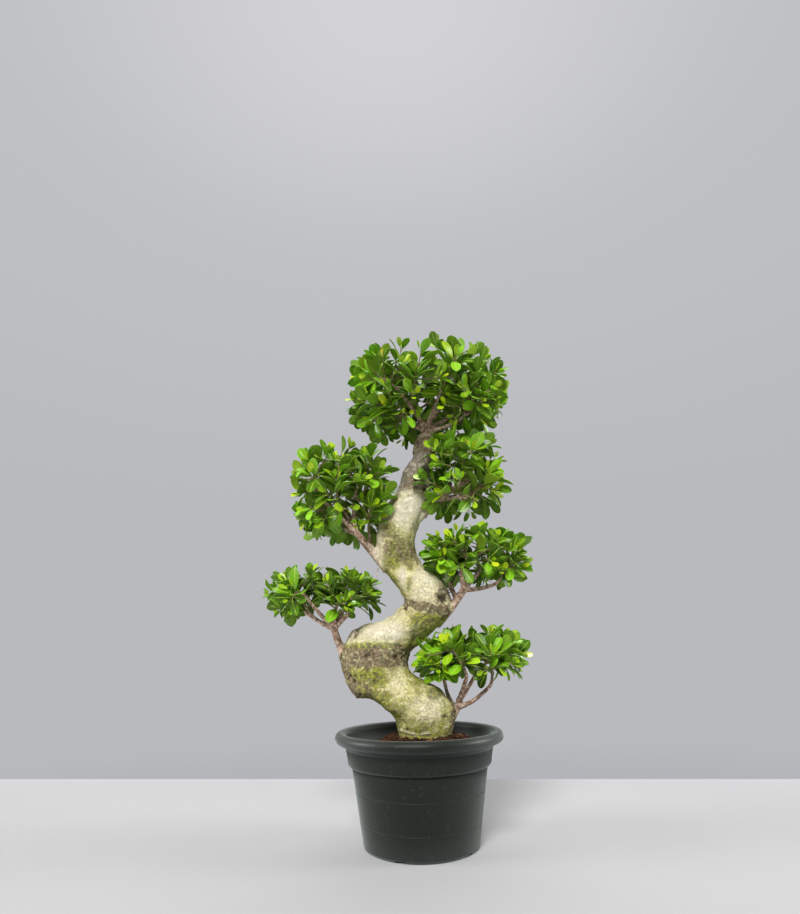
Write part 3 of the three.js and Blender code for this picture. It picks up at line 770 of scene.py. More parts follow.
def find_sprays():
    """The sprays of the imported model: the way that each took and the place of each of its leaves."""
    sprays = []
    for clump in CLUMPS:
        limbs = [Bezier(*points) for points in clump["limbs"]]
        count = 1
        for outward, tip in spray_tips(clump):
            name = f"{clump['name']}_spray_{count}"
            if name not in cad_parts:
                break
            has_vertex = vertex_finder(name)
            seed = len(sprays) + 1
            ways = spray_ways(limbs, outward, tip)
            way = next((way for way in ways if has_vertex(twig_corner(way, seed))), None)
            if way is None:
                continue
            leaves = []
            for leaf in range(LEAVES_PER_SPRAY):
                places = [leaf_place(way, seed, leaf, choice) for choice in range(CHOICES)]
                leaves += [(leaf, place) for place in places if has_vertex(leaf_tip(place))][:1]
            sprays.append({"name": name, "clump": clump, "seed": seed, "way": way,
                           "leaves": leaves, "shoots": []})
            count += 1
    return sprays


BLADE = {"thickness": 0.6, "fold": 1.6, "hollow": 0.35, "broad": 0.93, "short": 0.9}
# How far along the blade each row lies, and how wide the leaf is there.
BLADE_ROWS = [
    (0, 0.1), (0.13, 0.4), (0.32, 0.78), (0.54, 1), (0.75, 0.94), (0.9, 0.66), (0.975, 0.28), (1, 0.05),
]
STALK_MARKS = {"across": 0.5, "along": 0, "under": 0, "stem": 0.6}
STALK = {"radii": [0.7, 0.595, 0.42], "sides": 5, "into_blade": 2.5, "sag": 0.6, "end_sag": 0.25}
CLEAR_OF_ROWS = 10


def model_leaf():
    """One leaf at its mean size, with its stalk at the origin, pointing along +Y with its face up."""
    half = LEAF["width"] / 2 * BLADE["broad"] * MM
    rows = len(BLADE_ROWS) - 1
    clear_selection()
    bpy.ops.mesh.primitive_grid_add(x_subdivisions=2, y_subdivisions=rows, size=2)
    leaf = bpy.context.object
    flat = places_of(leaf.data) * MM
    columns = flat[:, 0]
    shares = np.array([BLADE_ROWS[round((y + 1) / 2 * rows)][0] for y in flat[:, 1]])
    bpy.ops.object.mode_set(mode="EDIT")
    heights = [2 * row / rows - 1 for row in range(rows + 1)]
    for y, (share, width) in zip(heights, BLADE_ROWS):
        pick(lambda place: abs(place.y - y) < 0.01)
        bpy.ops.transform.resize(value=(half * width, 1, 1), center_override=(0, y, 0))
    for y, (share, width) in reversed(list(zip(heights, BLADE_ROWS))):
        pick(lambda place: abs(place.y - y) < 0.01)
        bpy.ops.transform.translate(value=(0, CLEAR_OF_ROWS + share - y, 0))
    pick(lambda place: True)
    bpy.ops.transform.translate(value=(0, -CLEAR_OF_ROWS, 0))
    bpy.ops.transform.resize(value=(1, LEAF["length"] * MM, 1), center_override=(0, 0, 0))
    bpy.ops.transform.translate(value=(0, LEAF["petiole"] * MM, 0))
    bpy.ops.object.mode_set(mode="OBJECT")
    places = places_of(leaf.data)
    fold = (1 + BLADE["hollow"]) * np.abs(columns) - BLADE["hollow"] * columns ** 2
    places[:, 2] = BLADE["fold"] * fold * np.interp(shares, *zip(*BLADE_ROWS))
    put_places(leaf.data, places)
    apply_modifier(leaf, "SOLIDIFY", thickness=BLADE["thickness"] * MM, offset=-1)
    count = len(columns)
    marks = {
        "across": np.tile((columns + 1) / 2, 2),
        "along": np.tile(shares, 2),
        "under": np.repeat([0, 1], count),
        "stem": np.zeros(2 * count),
    }
    reach = LEAF["petiole"] + STALK["into_blade"]
    line = Bezier((0, 0, 0), (0, reach / 2, -STALK["sag"]), (0, reach, -STALK["end_sag"]))
    stalk = tube(line, [0, 0.5, 1], STALK["radii"], STALK["sides"])
    places, faces = merged([(places_of(leaf.data), faces_of(leaf.data)), stalk])
    bpy.data.objects.remove(leaf)
    for name, value in STALK_MARKS.items():
        marks[name] = np.append(marks[name], np.full(len(stalk[0]), value))
    return places, faces, marks


def bent_leaf(shape, place):
    """The places of a leaf's vertices where it grows, arched as it droops."""
    x, y, z = shape.T
    length = place["length"] * BLADE["short"]
    scale = place["length"] / LEAF["length"]
    share = np.clip((y - LEAF["petiole"]) / LEAF["length"], 0, None)
    distance = np.minimum(y, LEAF["petiole"]) + share * length
    lift = z * scale - place["droop"] * length * share ** 2
    parts = (distance, "along"), (lift, "face"), (x * scale, "side")
    return place["root"] + sum(np.outer(amount, place[way]) for amount, way in parts)


def leaf_section(place, share, distance, half, thickness):
    sag = place["face"] * place["droop"] * place["length"] * share * share
    middle = place["root"] + place["along"] * distance - sag
    return [
        middle + place["side"] * across * half + place["face"] * over * thickness / 2
        for across, over in [(-1, -1), (-1, 1), (1, 1), (1, -1)]
    ]


CLEAR_OF_TWIG = 5


def test_blade(place, thickness):
    """A plain closed blade, to find out whether a leaf is clear of others."""
    places = leaf_section(place, 0, CLEAR_OF_TWIG, 2, thickness)
    for share, width in LEAF_STATIONS:
        half = width * place["length"] / LEAF["length"] * LEAF["width"] / 2
        distance = LEAF["petiole"] + share * place["length"]
        places += leaf_section(place, share, distance, half, thickness)
    places.append(leaf_tip(place))
    tip_faces = [(8 + side, 8 + (side + 1) % 4, 12) for side in range(4)]
    return np.array(places), [(0, 1, 2, 3)] + skin(3, 4)[1:-1] + tip_faces


class Crowd:
    """What has been placed, for the next leaf or twig to keep clear of."""

    def __init__(self, wood):
        self.lows = np.zeros((0, 3))
        self.highs = np.zeros((0, 3))
        self.trees = []
        self.wood = wood

    def add(self, places, faces):
        self.lows = np.vstack([self.lows, places.min(axis=0)])
        self.highs = np.vstack([self.highs, places.max(axis=0)])
        self.trees.append(search_tree(places, faces))

    def has_room_for(self, places, faces):
        low, high = places.min(axis=0), places.max(axis=0)
        near = np.flatnonzero((self.lows < high).all(axis=1) & (self.highs > low).all(axis=1))
        tree = search_tree(places, faces)
        return not any(other.overlap(tree) for other in [self.wood] + [self.trees[i] for i in near])


TWIG_SIDES = 6
BUD_LENGTH = 7
SWELL = 0.16


def twig_tube(way, seed, spare=0.0):
    """A green shoot that swells at its leaves and ends in a pointed bud."""
    path = way["path"]
    rows = max(6, round(way["length"] * (1 - way["start"]) / 4))
    shares = list(np.linspace(way["start"], 1, rows))
    thick = way.get("thick", 1)
    radii = []
    for share in shares:
        done = (share - way["start"]) / (1 - way["start"])
        swell = SWELL * math.sin(done * way["leaves"] * FULL_TURN + seed)
        radii.append((lerp(TWIG["start"], TWIG["tip"] * 0.75, done) + swell) * thick + spare)
    places, faces = tube(path, shares, radii, TWIG_SIDES)
    top = len(places)
    ends = faces.pop()
    faces += [(ends[side], ends[(side + 1) % TWIG_SIDES], top) for side in range(TWIG_SIDES)]
    return np.vstack([places, path.at(1) + path.heading(1) * BUD_LENGTH * thick]), faces


SHOOT = {
    "least": 14, "most": 56, "margin": 18, "leaves": 6, "size": 0.8, "thick": 0.55, "tries": 14,
    "highest": 0.97, "below": 0.12, "follow": 0.6, "away": 0.7, "lift": 0.3, "straight": 12,
    "first_fork": 0.04, "last_fork": 0.9, "forks": 9, "start": 0.06, "hidden": 6, "spare": 0.5,
}
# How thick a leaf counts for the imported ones, for a new one that is tried, and once it is kept.
BLADE_SPARE = {"packed": 0.8, "tried": 0.7, "kept": 0.5}
SHOOT_SEEDS = 200
# For the outline and for the inside of a clump: side shoots for each spray, and how far out they end.
SHELLS = [(5.0, 1), (2.4, 0.6)]
BETWEEN = 0.86
SHOOT_CHOICES = 13
ROUNDNESS = 3
OUTLINE_SPARE = 1.03
# Where the limbs show from the front: the middle, half width and half height of each window.
WINDOWS = [
    ((28, 618), (44, 24)), ((-72, 452), (34, 28)), ((-92, 488), (36, 16)), ((84, 497), (40, 20)),
    ((-118, 322), (42, 18)),
]
WINDOW_DEPTH = 20
# Clumps whose leaves are smaller and darker than the others, and how many side shoots they keep.
SMALL_LEAVED = {"middle_left": 0.8}
AIRY = {"middle_left": 0.5, "lower_right": 0.8}


def shoot_tips(clump):
    """Where side shoots should end, spread evenly just inside the clump's outline and further in."""
    lowest = max(clump["lowest"] - SHOOT["below"], -SHOOT["highest"])
    for cover, depth in SHELLS:
        count = round(cover * clump["sprays"] * AIRY.get(clump["name"], 1))
        for number in range(count):
            rise = lerp(SHOOT["highest"], lowest, (number + 0.5) / count)
            yield outline_place(clump, rise, number + 0.5, SHOOT["margin"], depth)


def shoot_ways(own, outward, tip):
    """The ways in which a side shoot can spring from the twigs of a clump, the shortest first."""
    ways = []
    away = outward * SHOOT["away"]
    for spray in own:
        for t in np.linspace(spray["way"]["start"] + SHOOT["first_fork"], SHOOT["last_fork"], SHOOT["forks"]):
            twig = spray["way"]["path"]
            path, length, start_fit, _ = path_to(tip, twig, t, SHOOT["follow"], away, SHOOT["lift"])
            if SHOOT["least"] < length < SHOOT["most"]:
                way = {"path": path, "length": length, "start": SHOOT["start"], "leaves": SHOOT["leaves"],
                       "size": SHOOT["size"], "thick": SHOOT["thick"]}
                ways.append((length - SHOOT["straight"] * start_fit, len(ways), spray, way))
    return [(spray, way) for cost, order, spray, way in sorted(ways)[:SHOOT["tries"]]]


def is_inside(clump, place):
    """Whether a place is within a clump's outline, which is fuller than an ellipsoid."""
    return np.linalg.norm((place - clump["centre"]) / clump["half"], ord=ROUNDNESS) < OUTLINE_SPARE


def in_window(place):
    if place[1] > WINDOW_DEPTH:
        return False
    return any(np.linalg.norm((place[[0, 2]] - middle) / half) < 1 for middle, half in WINDOWS)


def grow_foliage(sprays, wood):
    """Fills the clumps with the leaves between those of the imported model, and with side shoots."""
    crowd = Crowd(wood)
    for spray in sprays:
        crowd.add(*twig_tube(spray["way"], spray["seed"]))
        for leaf, place in spray["leaves"]:
            crowd.add(*test_blade(place, BLADE_SPARE["packed"]))

    def add_leaf(spray, way, seed, leaf):
        for choice in range(SHOOT_CHOICES):
            place = leaf_place(way, seed, leaf, choice)
            tip = leaf_tip(place)
            if not is_inside(spray["clump"], tip) or in_window(tip) or in_window((tip + place["root"]) / 2):
                continue
            if crowd.has_room_for(*test_blade(place, BLADE_SPARE["tried"])):
                spray["leaves"].append((leaf, place))
                crowd.add(*test_blade(place, BLADE_SPARE["kept"]))
                return

    for clump in CLUMPS:
        own = [spray for spray in sprays if spray["clump"] is clump]
        small = SMALL_LEAVED.get(clump["name"], 1)
        for number, (outward, tip) in enumerate(shoot_tips(clump)):
            seed = own[0]["seed"] + SHOOT_SEEDS + number
            for spray, way in shoot_ways(own, outward, tip):
                bare = dict(way, start=min(0.5, SHOOT["hidden"] / way["length"]))
                if crowd.has_room_for(*twig_tube(bare, seed, SHOOT["spare"])):
                    crowd.add(*twig_tube(bare, seed))
                    way["size"] *= small
                    spray["shoots"].append((seed, way))
                    break
        for spray in own:
            for seed, way in spray["shoots"]:
                for leaf in range(SHOOT["leaves"]):
                    add_leaf(spray, way, seed, leaf)
        for spray in own:
            way = dict(spray["way"], size=BETWEEN * small)
            for leaf in range(LEAVES_PER_SPRAY - 1):
                add_leaf(spray, way, spray["seed"], leaf + 0.5)


def outwardness(clump, place):
    """Where a leaf's tip lies in its clump, whose outline is at 1 each way."""
    return (leaf_tip(place) - clump["centre"]) / clump["half"]


# How much light the middle of a clump has, how much more its top and its outside have, and how much
# of it makes a leaf young. The last leaf of a shoot starts young.
LIGHT = {"middle": 0.45, "above": 0.35, "outside": 0.3, "young": 0.9}
YOUTH = {"last": 0.5, "other": 0.04, "small_leaved": -0.3}


def leaf_age(spray, leaf, place):
    """Young, bright leaves end the shoots, most of all on top and outside."""
    outward = outwardness(spray["clump"], place)
    light = LIGHT["middle"] + LIGHT["above"] * outward[2] + LIGHT["outside"] * np.linalg.norm(outward)
    youth = YOUTH["last" if leaf == LEAVES_PER_SPRAY - 1 else "other"]
    drawn = draw(spray["seed"], leaf + place["length"], DRAWN_FOR["age"])
    darker = YOUTH["small_leaved"] if spray["clump"]["name"] in SMALL_LEAVED else 0
    return float(np.clip(youth + LIGHT["young"] * light * drawn ** 4 + darker, 0, 1))


BUD = {"leaves": 3, "lean": 0.35, "more_lean": 0.2, "lift": 0.1, "size": 0.34, "growth": 0.1, "curl": -0.1}


def bud_leaves(way, seed):
    """Small unfolding leaves round the bud."""
    path = way["path"]
    for number in range(BUD["leaves"]):
        aside = path.aside(1, number * GOLDEN_ANGLE + seed)
        lean = BUD["lean"] + BUD["more_lean"] * number
        along = unit(path.heading(1) + aside * lean + UP * BUD["lift"])
        size = (BUD["size"] + BUD["growth"] * number) * way.get("size", 1)
        yield grown(path.at(1) - path.heading(1) * 0.5, along, -aside, LEAF["length"] * size, BUD["curl"])


# How far out in a clump leaves are painted lit rather than shaded, how much of that painted light the
# small-leaved clumps get, and how it shows in a leaf.
LIT_FROM = (0.5, 0.95)
SMALL_LEAVED_LIGHT = 0.7
DULL_LEAF = 0.06
DULL_OFTEN = 1.3
YOUNG_FROM = 0.55
LEAF_EDGE = 50


def make_spray(spray, shape, material):
    """One leafy spray as one piece: its twig, side shoots and leaves."""
    leaf_places, leaf_faces, leaf_marks = shape
    shoots = [(spray["seed"], spray["way"])] + spray["shoots"]
    meshes, marks = [], []
    for seed, way in shoots:
        meshes.append(twig_tube(way, seed))
        shade_and_hue = draw(seed, 1, DRAWN_FOR["shade_and_hue"])
        marks.append({"across": 0.5, "along": 0.0, "stem": 1, "under": 0, "age": 0, "shade_and_hue": shade_and_hue})
    leaves = [(leaf_age(spray, leaf, place), place) for leaf, place in spray["leaves"]]
    for seed, way in shoots:
        young = lerp(YOUNG_FROM, 1, draw(seed, 2, DRAWN_FOR["age"]))
        leaves += [(young, place) for place in bud_leaves(way, seed)]
    light = SMALL_LEAVED_LIGHT if spray["clump"]["name"] in SMALL_LEAVED else 1
    for number, (age, place) in enumerate(leaves):
        # Painted shade: leaves deep inside a clump, and all leaves of the small-leaved clump, get a darker
        # green.
        lit = smooth_step(*LIT_FROM, np.linalg.norm(outwardness(spray["clump"], place))) * light
        shade_and_hue = lit * lerp(DULL_LEAF, 1, draw(spray["seed"], number, DRAWN_FOR["shade_and_hue"]) ** DULL_OFTEN)
        meshes.append((bent_leaf(leaf_places, place), leaf_faces))
        marks.append(leaf_marks | {"age": age, "shade_and_hue": shade_and_hue})
    piece = new_piece(spray["name"] + "_leaves", *merged(meshes))

    def spread(name):
        return np.concatenate([np.broadcast_to(own[name], len(mesh[0])) for own, mesh in zip(marks, meshes)])

    for name in LEAF_MARKS:
        paint(piece.data, name, spread(name))
    corners = np.empty(len(piece.data.loops), int)
    piece.data.loops.foreach_get("vertex_index", corners)
    blade = np.column_stack([spread("across"), spread("along")])[corners]
    piece.data.uv_layers.new(name="blade").data.foreach_set("uv", blade.astype(np.float32).ravel())
    finish(piece, material, "leaf", LEAF_EDGE, spray["name"])


# Wood

WOOD = {"sides": 96, "rings": 300, "voxel": 1.62}


def trunk_ring(t):
    left = centripetal([row[0:2] for row in TRUNK_EDGES], t)
    right = centripetal([row[2:4] for row in TRUNK_EDGES], t)
    depth, back = centripetal([row[4:6] for row in TRUNK_EDGES], t)
    middle = np.array([(left[0] + right[0]) / 2, back, (left[1] + right[1]) / 2])
    half = np.array([(right[0] - left[0]) / 2, 0, (right[1] - left[1]) / 2])
    turns = np.arange(WOOD["sides"]) / WOOD["sides"] * FULL_TURN
    lump = sum(share * np.sin(around * turns + along * t) for around, along, share in LUMPS)
    scale = 1 + LUMP_SIZE * min(1, t / LUMP_FULL_FROM) * lump
    ring = middle + np.outer(scale * np.cos(turns), half)
    ring[:, 1] += scale * depth * np.sin(turns)
    return ring


def trunk_body():
    """The trunk as a fine closed loft through its rings, from inside the soil to the sawn top."""
    foot = trunk_ring(0)
    foot[:, 2] = TRUNK_BOTTOM
    rings = [foot] + [trunk_ring(row / WOOD["rings"]) for row in range(WOOD["rings"] + 1)]
    return np.vstack(rings), skin(len(rings), WOOD["sides"])


def flare(t, amount):
    """How much a branch thickens where it springs."""
    return amount * (1 - t) ** 4


def branch_strands(sprays):
    """The places and radii of every bough, limb and stalk, from its root to its end."""
    strands = []

    def add(path, reached, rows, radius):
        shares = np.linspace(0, reached, rows)
        strands.append([(path.at(t), radius(t, t / reached)) for t in shares])

    for clump in CLUMPS:
        thick, thin = clump["bough_radius"]
        add(Bezier(*clump["bough"]), 1, 12, lambda t, done: lerp(thick, thin, t) * 0.94 + flare(t, 2.5))
        ways = [spray["way"] for spray in sprays if spray["clump"] is clump]
        for number, points in enumerate(clump["limbs"]):
            reached = max([way["t"] for way in ways if way["limb"] == number], default=0)
            if reached:
                limb = Bezier(*points)
                add(limb, reached, 12, lambda t, done: lerp(LIMB["fork"], LIMB["end"], t) + flare(t, 0.8))
        for way in ways:
            add(way["path"], way["start"], 5, lambda t, done: lerp(LIMB["end"], TWIG["start"], done) + 0.1)
    return strands


def branch_mesh(strands):
    """The branches as round tapering tubes."""
    data = bpy.data.curves.new("branches", "CURVE")
    data.dimensions = "3D"
    data.bevel_depth = MM
    data.bevel_resolution = 3
    data.use_fill_caps = True
    for strand in strands:
        spline = data.splines.new("POLY")
        spline.points.add(len(strand) - 1)
        for point, (place, radius) in zip(spline.points, strand):
            point.co = (*(place * MM), 1)
            point.radius = radius
    take(link("branches", data))
    bpy.ops.object.convert(target="MESH")
    return bpy.context.object


# Corky bands across the trunk: both ends as seen from the front, half their height and their strength.
CORK_BANDS = [
    ((-112, 261), (-10, 260), 14, 1), ((-106, 246), (-88, 212), 8, 0.9), ((48, 150), (50, 186), 5, 1),
    ((-14, 337), (50, 320), 7, 0.9), ((-36, 424), (-8, 408), 19, 0.5), ((0, 579), (40, 579), 13, 1),
]
# Painted patches of the front: the middle, half width and half height, and how strong they are.
ALGAE = [
    ((-92, 229), (16, 18), 1.0), ((-56, 201), (14, 22), 0.9), ((-40, 180), (24, 14), 0.9),
    ((22, 208), (12, 9), 1.7), ((-10, 160), (36, 9), 0.9), ((14, 296), (25, 22), 1.6),
    ((-58, 277), (42, 6), 1.3), ((13, 361), (9, 8), 1.1), ((-10, 366), (7, 16), 0.9),
    ((-70, 236), (26, 10), 0.9), ((34, 176), (9, 9), 1.0), ((-34, 358), (12, 18), 1.0),
    ((-8, 388), (7, 14), 0.8), ((-32, 450), (12, 10), 1.0), ((-22, 440), (24, 12), 0.8),
    ((-50, 400), (8, 40), 0.6), ((20, 440), (8, 26), 0.4), ((-25, 412), (28, 24), 1.2),
]
# Bare pale wood, and on the upper trunk a painted highlight, given in the same way.
BARE_AND_HIGHLIGHT = [
    ((-2, 483), (15, 17), 1.4), ((12, 463), (8, 16), 1.1), ((18, 364), (20, 18), 0.8),
    ((-18, 377), (5, 12), 1.0), ((-48, 297), (30, 12), 1.0), ((-54, 420), (8, 26), 0.9),
    ((-28, 224), (12, 18), 0.7), ((12, 192), (22, 17), 0.9), ((-14, 470), (12, 20), 1.2),
]
# Knots and cut stubs of the front: the middle, the radius, and how far they stand out or lie in.
KNOTS = [
    ((39, 343), 9, -4), ((36, 177), 2.5, -2.5), ((-16, 161), 2.5, -2), ((-2, 515), 7, 1.5),
    ((20, 507), 5, -3), ((-90, 296), 5, 2.5), ((-84, 212), 11, 5), ((-111, 262), 8, 2.5),
    ((-49, 545), 5, 2),
]
SCAR = [(-25, 160), (-6, 155), (14, 157), (38, 163)]
CREASE = [(-16, 323), (-5, 309), (-2, 284), (-9, 270)]
# Where each kind of bark, and the painted shade in its crevices, starts and where it is full: by how far a
# place is off the plain trunk, by height, by how far a face looks down, by how far back a place lies, or by a
# mask.
FADES = {
    "limb": (1.2, 4.5), "high_limb": (588, 600), "under": (0.0, -0.6), "behind": (0, 20), "damp": (262, 240),
    "grey": (489, 521), "front": (25, 0), "fresh": (235, 265), "crest": (0.75, 1.25), "crevice_shade": (0.1, -0.6),
    "collar": (566, 570), "collar_end": (592, 586),
}
ALGAE_ALSO = {"under": 0.75, "behind": 0.5, "damp": 0.7}
# Lumps of the bark: their size, and where their noise starts.
BARK_NOISE = [(26, 0), (9, 7.3), (4, 3.1), ((26, 26, 4.5), 5.7), (14, 1.9)]
# How far the bark stands out, in millimetres, and for the knots, as a share of their own height.
RELIEF = {
    "broad": 1.7, "lumps": 1.1, "middle": 0.7, "rings": 0.45, "algae": 0.5, "grey": 0.4,
    "cork_ridges": 2.4, "cork_small": 1.3, "cork_sunk": 0.6, "limb_middle": 0.35, "limb_small": 0.25,
    "knot_lip": 0.35, "scar": 1.3, "collar": 2.4, "crease": 2.6,
}
CORK_RAGGED = (4, 2)
CORK_EDGE = (0.6, 1.4)
LIP = {"at": 1.3, "width": 0.5}
SCAR_WIDTH = 1.8
CREASE_WIDTH = 5
NEAR_TRUNK = 3
BARK_MARKS = ("cork", "algae", "grey", "limb", "crevice_shade", "pale", "crest")


def cloud(places, size, seed):
    """Smooth noise from -1 to 1 whose lumps have about the given size, in millimetres."""
    size = np.broadcast_to(size, 3)
    return np.array([noise.noise(Vector(place)) for place in places / size + seed])


def off_line(places, start, end):
    """How far each place lies from a line across the front, in x and z."""
    start, end = np.array(start, float), np.array(end, float)
    run = end - start
    flat = places[:, [0, 2]]
    share = np.clip((flat - start) @ run / (run @ run), 0, 1)
    return np.linalg.norm(flat - start - np.outer(share, run), axis=1)


def patch(places, middle, half):
    flat = (places[:, [0, 2]] - middle) / half
    return np.exp(-(flat ** 2).sum(axis=1) * 0.7)


def most(*masks):
    """The strongest of several masks at each place."""
    return np.maximum.reduce(masks)


def fade(name, values):
    return smooth_step(*FADES[name], values)


def stroke(places, line, width, wander=0.0):
    """A soft line across the front, through its points."""
    runs = [off_line(places, start, end) for start, end in zip(line, line[1:])]
    return [np.exp(-((run + wander) / width) ** 2) for run in runs]


def weather(piece, plain_trunk):
    """Raises the bark's relief and paints where it is corky, green, grey, thin-skinned or bare, with painted
    shade in its crevices and a painted highlight on the upper trunk.
    """
    mesh = piece.data
    places = places_of(mesh)
    normals = places_of(mesh, "normal") * MM
    x, y, z = places.T
    away = np.array([plain_trunk.find_nearest(Vector(place))[3] for place in places])
    limb = most(fade("limb", away), fade("high_limb", z))
    trunk = 1 - limb
    broad, middle, small, rings, lumps = [cloud(places, size, seed) for size, seed in BARK_NOISE]

    cork = np.zeros(len(places))
    for start, end, half, strength in CORK_BANDS:
        off = off_line(places, start, end) + CORK_RAGGED[0] * middle + CORK_RAGGED[1] * small
        cork = most(cork, strength * (1 - smooth_step(half * CORK_EDGE[0], half * CORK_EDGE[1], off)))
    measured = {"under": normals[:, 2], "behind": y, "damp": z}
    painted = [strength * patch(places, at, half) for at, half, strength in ALGAE]
    algae = most(*painted, *[ALGAE_ALSO[name] * fade(name, values) for name, values in measured.items()])
    bare = [(at, strength * patch(places, at, half) * (y < 0)) for at, half, strength in BARE_AND_HIGHLIGHT]
    for at, mask in bare:
        algae -= 0.8 * mask
    algae = np.clip(algae, 0, 1)
    grey = fade("grey", z + 10 * middle + 5 * small)
    cork *= trunk
    algae *= trunk * (1 - grey)
    grey *= trunk

    ridges = 1 - 2 * np.abs(middle)
    height = RELIEF["broad"] * broad + RELIEF["lumps"] * lumps
    height += RELIEF["middle"] * middle + RELIEF["rings"] * rings
    corky = RELIEF["cork_ridges"] * ridges * (0.4 + 0.6 * np.abs(small)) + RELIEF["cork_small"] * small
    height += cork * (corky - RELIEF["cork_sunk"])
    height += algae * RELIEF["algae"] * small + grey * RELIEF["grey"] * rings
    height *= trunk
    height += limb * (RELIEF["limb_middle"] * middle + RELIEF["limb_small"] * small)
    crest = cork * fade("crest", ridges + 0.8 * small)
    # Painted shade in the crevices between the cork's ridges.
    crevice_shade = cork * fade("crevice_shade", ridges + small)
    front = fade("front", y) * trunk
    for at, radius, rise in KNOTS:
        off = np.linalg.norm(places[:, [0, 2]] - at, axis=1) * (1 + 0.35 * small)
        bump = np.exp(-(off / radius) ** 2) * front
        lip = np.exp(-((off - radius * LIP["at"]) / (radius * LIP["width"])) ** 2) * front
        height += rise * bump + max(0, -rise) * RELIEF["knot_lip"] * lip
        # Painted shade in hollow knots; raised knots are painted a little darker.
        crevice_shade = most(crevice_shade, bump if rise < 0 else 0.3 * bump)
        cork = most(cork, 0.6 * most(bump, lip))
    pale = most(*stroke(places, SCAR, SCAR_WIDTH, small)) * front
    pale *= np.clip(0.45 + middle + small, 0, 1)
    height += RELIEF["scar"] * pale
    # Bare wood, paler higher up, and on the upper trunk the painted highlight.
    for at, mask in bare:
        pale = most(pale, lerp(0.35, 0.95, fade("fresh", at[1])) * mask)
    pale *= (1 - cork) * (1 - grey)
    height += RELIEF["collar"] * fade("collar", z) * fade("collar_end", z) * trunk
    for fold in stroke(places, CREASE, CREASE_WIDTH):
        height -= RELIEF["crease"] * fold * front
        # Painted shade along the crease.
        crevice_shade = most(crevice_shade, 0.12 * fold * front)
    moved = (away < NEAR_TRUNK) | (limb > 0)
    places[moved] += (normals * height[:, None])[moved]
    put_places(mesh, places)
    for name, values in zip(BARK_MARKS, (cork, algae, grey, limb, crevice_shade, 0.8 * pale, 0.7 * crest)):
        paint(mesh, name, values)


def make_wood(sprays, material):
    """The trunk with its boughs and limbs, grown together into one piece."""
    body = trunk_body()
    wood = new_piece("trunk_wood", *body)
    branches = branch_mesh(branch_strands(sprays))
    coarse = search_tree(*merged([body, (places_of(branches.data), faces_of(branches.data))]))
    take(wood)
    branches.select_set(True)
    bpy.ops.object.join()
    apply_modifier(wood, "REMESH", mode="VOXEL", voxel_size=WOOD["voxel"] * MM)
    apply_modifier(wood, "SMOOTH", factor=0.5, iterations=2)
    weather(wood, search_tree(*body))
    finish(wood, material, "bark", node="trunk")
    return coarse


AERIAL_ROOT = [(-53, -14, 392), (-57, -17, 384), (-56, -15, 376), (-59, -15, 369)]
AERIAL_ROOT_RADII = (0.7, 0.25)


def make_aerial_root(material):
    """A thin root that hangs from under the bend."""
    shares, radii = np.linspace(0, 1, 9), np.linspace(*AERIAL_ROOT_RADII, 9)
    root = new_piece("aerial_root", *tube(Bezier(*AERIAL_ROOT), shares, radii, 6))
    for name in BARK_MARKS:
        paint(root.data, name, np.full(len(root.data.vertices), name == "limb"))
    finish(root, material, "bark", 60)


# Pot

POT_SIDES = 96
RIM_STEPS = 16
BODY_RINGS = [35, 77]
# Each ring is a shallow groove: how far above its middle each step lies, and how far in.
RING_STEPS = [(-1.1, 0), (-0.5, 0.3), (0.5, 0.3), (1.1, 0)]
SHOULDER = {"below": 105, "sunk": (108, 0.7), "rings": (108.2, 109.7)}
OVER_SHOULDER = [(99.6, 110.6), (101.4, 112.6), (102.1, 115)]
POT_EDGE = 24


def radius_between(low_ring, high_ring, height):
    """The pot's outer radius at a height between two rings of its profile."""
    return lerp(low_ring[0], high_ring[0], (height - low_ring[1]) / (high_ring[1] - low_ring[1]))


def body_ring(height, sink=0.0):
    return radius_between(POT["base"], POT["body"], height) - sink, height


def pot_profile():
    """Radius and height of each ring, from the pad under the floor, up and over, to the floor inside."""
    wall, foot, rim, pad = POT["wall"], POT["foot"], POT["rim"], POT["pad"]
    profile = [
        (pad, 0), (pad + foot["slope"], foot["height"]), (foot["inner"] - foot["slope"], foot["height"]),
        (foot["inner"], 0), (foot["outer"], 0), POT["base"],
    ]
    for height in BODY_RINGS:
        profile += [body_ring(height + step, sink) for step, sink in RING_STEPS]
    sunk = body_ring(*SHOULDER["sunk"])[0]
    profile += [body_ring(SHOULDER["below"])] + [(sunk, height) for height in SHOULDER["rings"]]
    profile += [*OVER_SHOULDER, POT["neck_low"], POT["neck_top"]]
    for step in range(RIM_STEPS + 1):
        turn = math.radians(rim["first"] + step / RIM_STEPS * rim["sweep"])
        outward, upward = rim["roll"] * math.cos(turn), rim["roll"] * math.sin(turn)
        profile.append((rim["radius"] + outward, rim["height"] + upward))
    for radius, height in (POT["neck_top"], POT["neck_low"], POT["body"], (POT["base"][0], POT["floor"])):
        profile.append((radius - wall, height))
    return profile


def turned(name, profile):
    """A closed turned piece: a filled circle, extruded ring by ring along its profile, and filled."""
    clear_selection()
    radius, height = profile[0]
    bpy.ops.mesh.primitive_circle_add(
        vertices=POT_SIDES, radius=radius * MM, fill_type="NGON", location=(0, 0, height * MM)
    )
    piece = bpy.context.object
    piece.name = name
    bpy.ops.object.transform_apply(location=True)
    bpy.ops.object.mode_set(mode="EDIT")
    bpy.ops.mesh.select_all(action="SELECT")
    for (before, low), (after, high) in zip(profile, profile[1:]):
        bpy.ops.mesh.extrude_edges_move(TRANSFORM_OT_translate={"value": (0, 0, (high - low) * MM)})
        share = after / before
        bpy.ops.transform.resize(value=(share, share, 1), center_override=(0, 0, high * MM))
    bpy.ops.mesh.edge_face_add()
    bpy.ops.mesh.select_all(action="SELECT")
    bpy.ops.mesh.normals_make_consistent(inside=False)
    bpy.ops.object.mode_set(mode="OBJECT")
    return piece


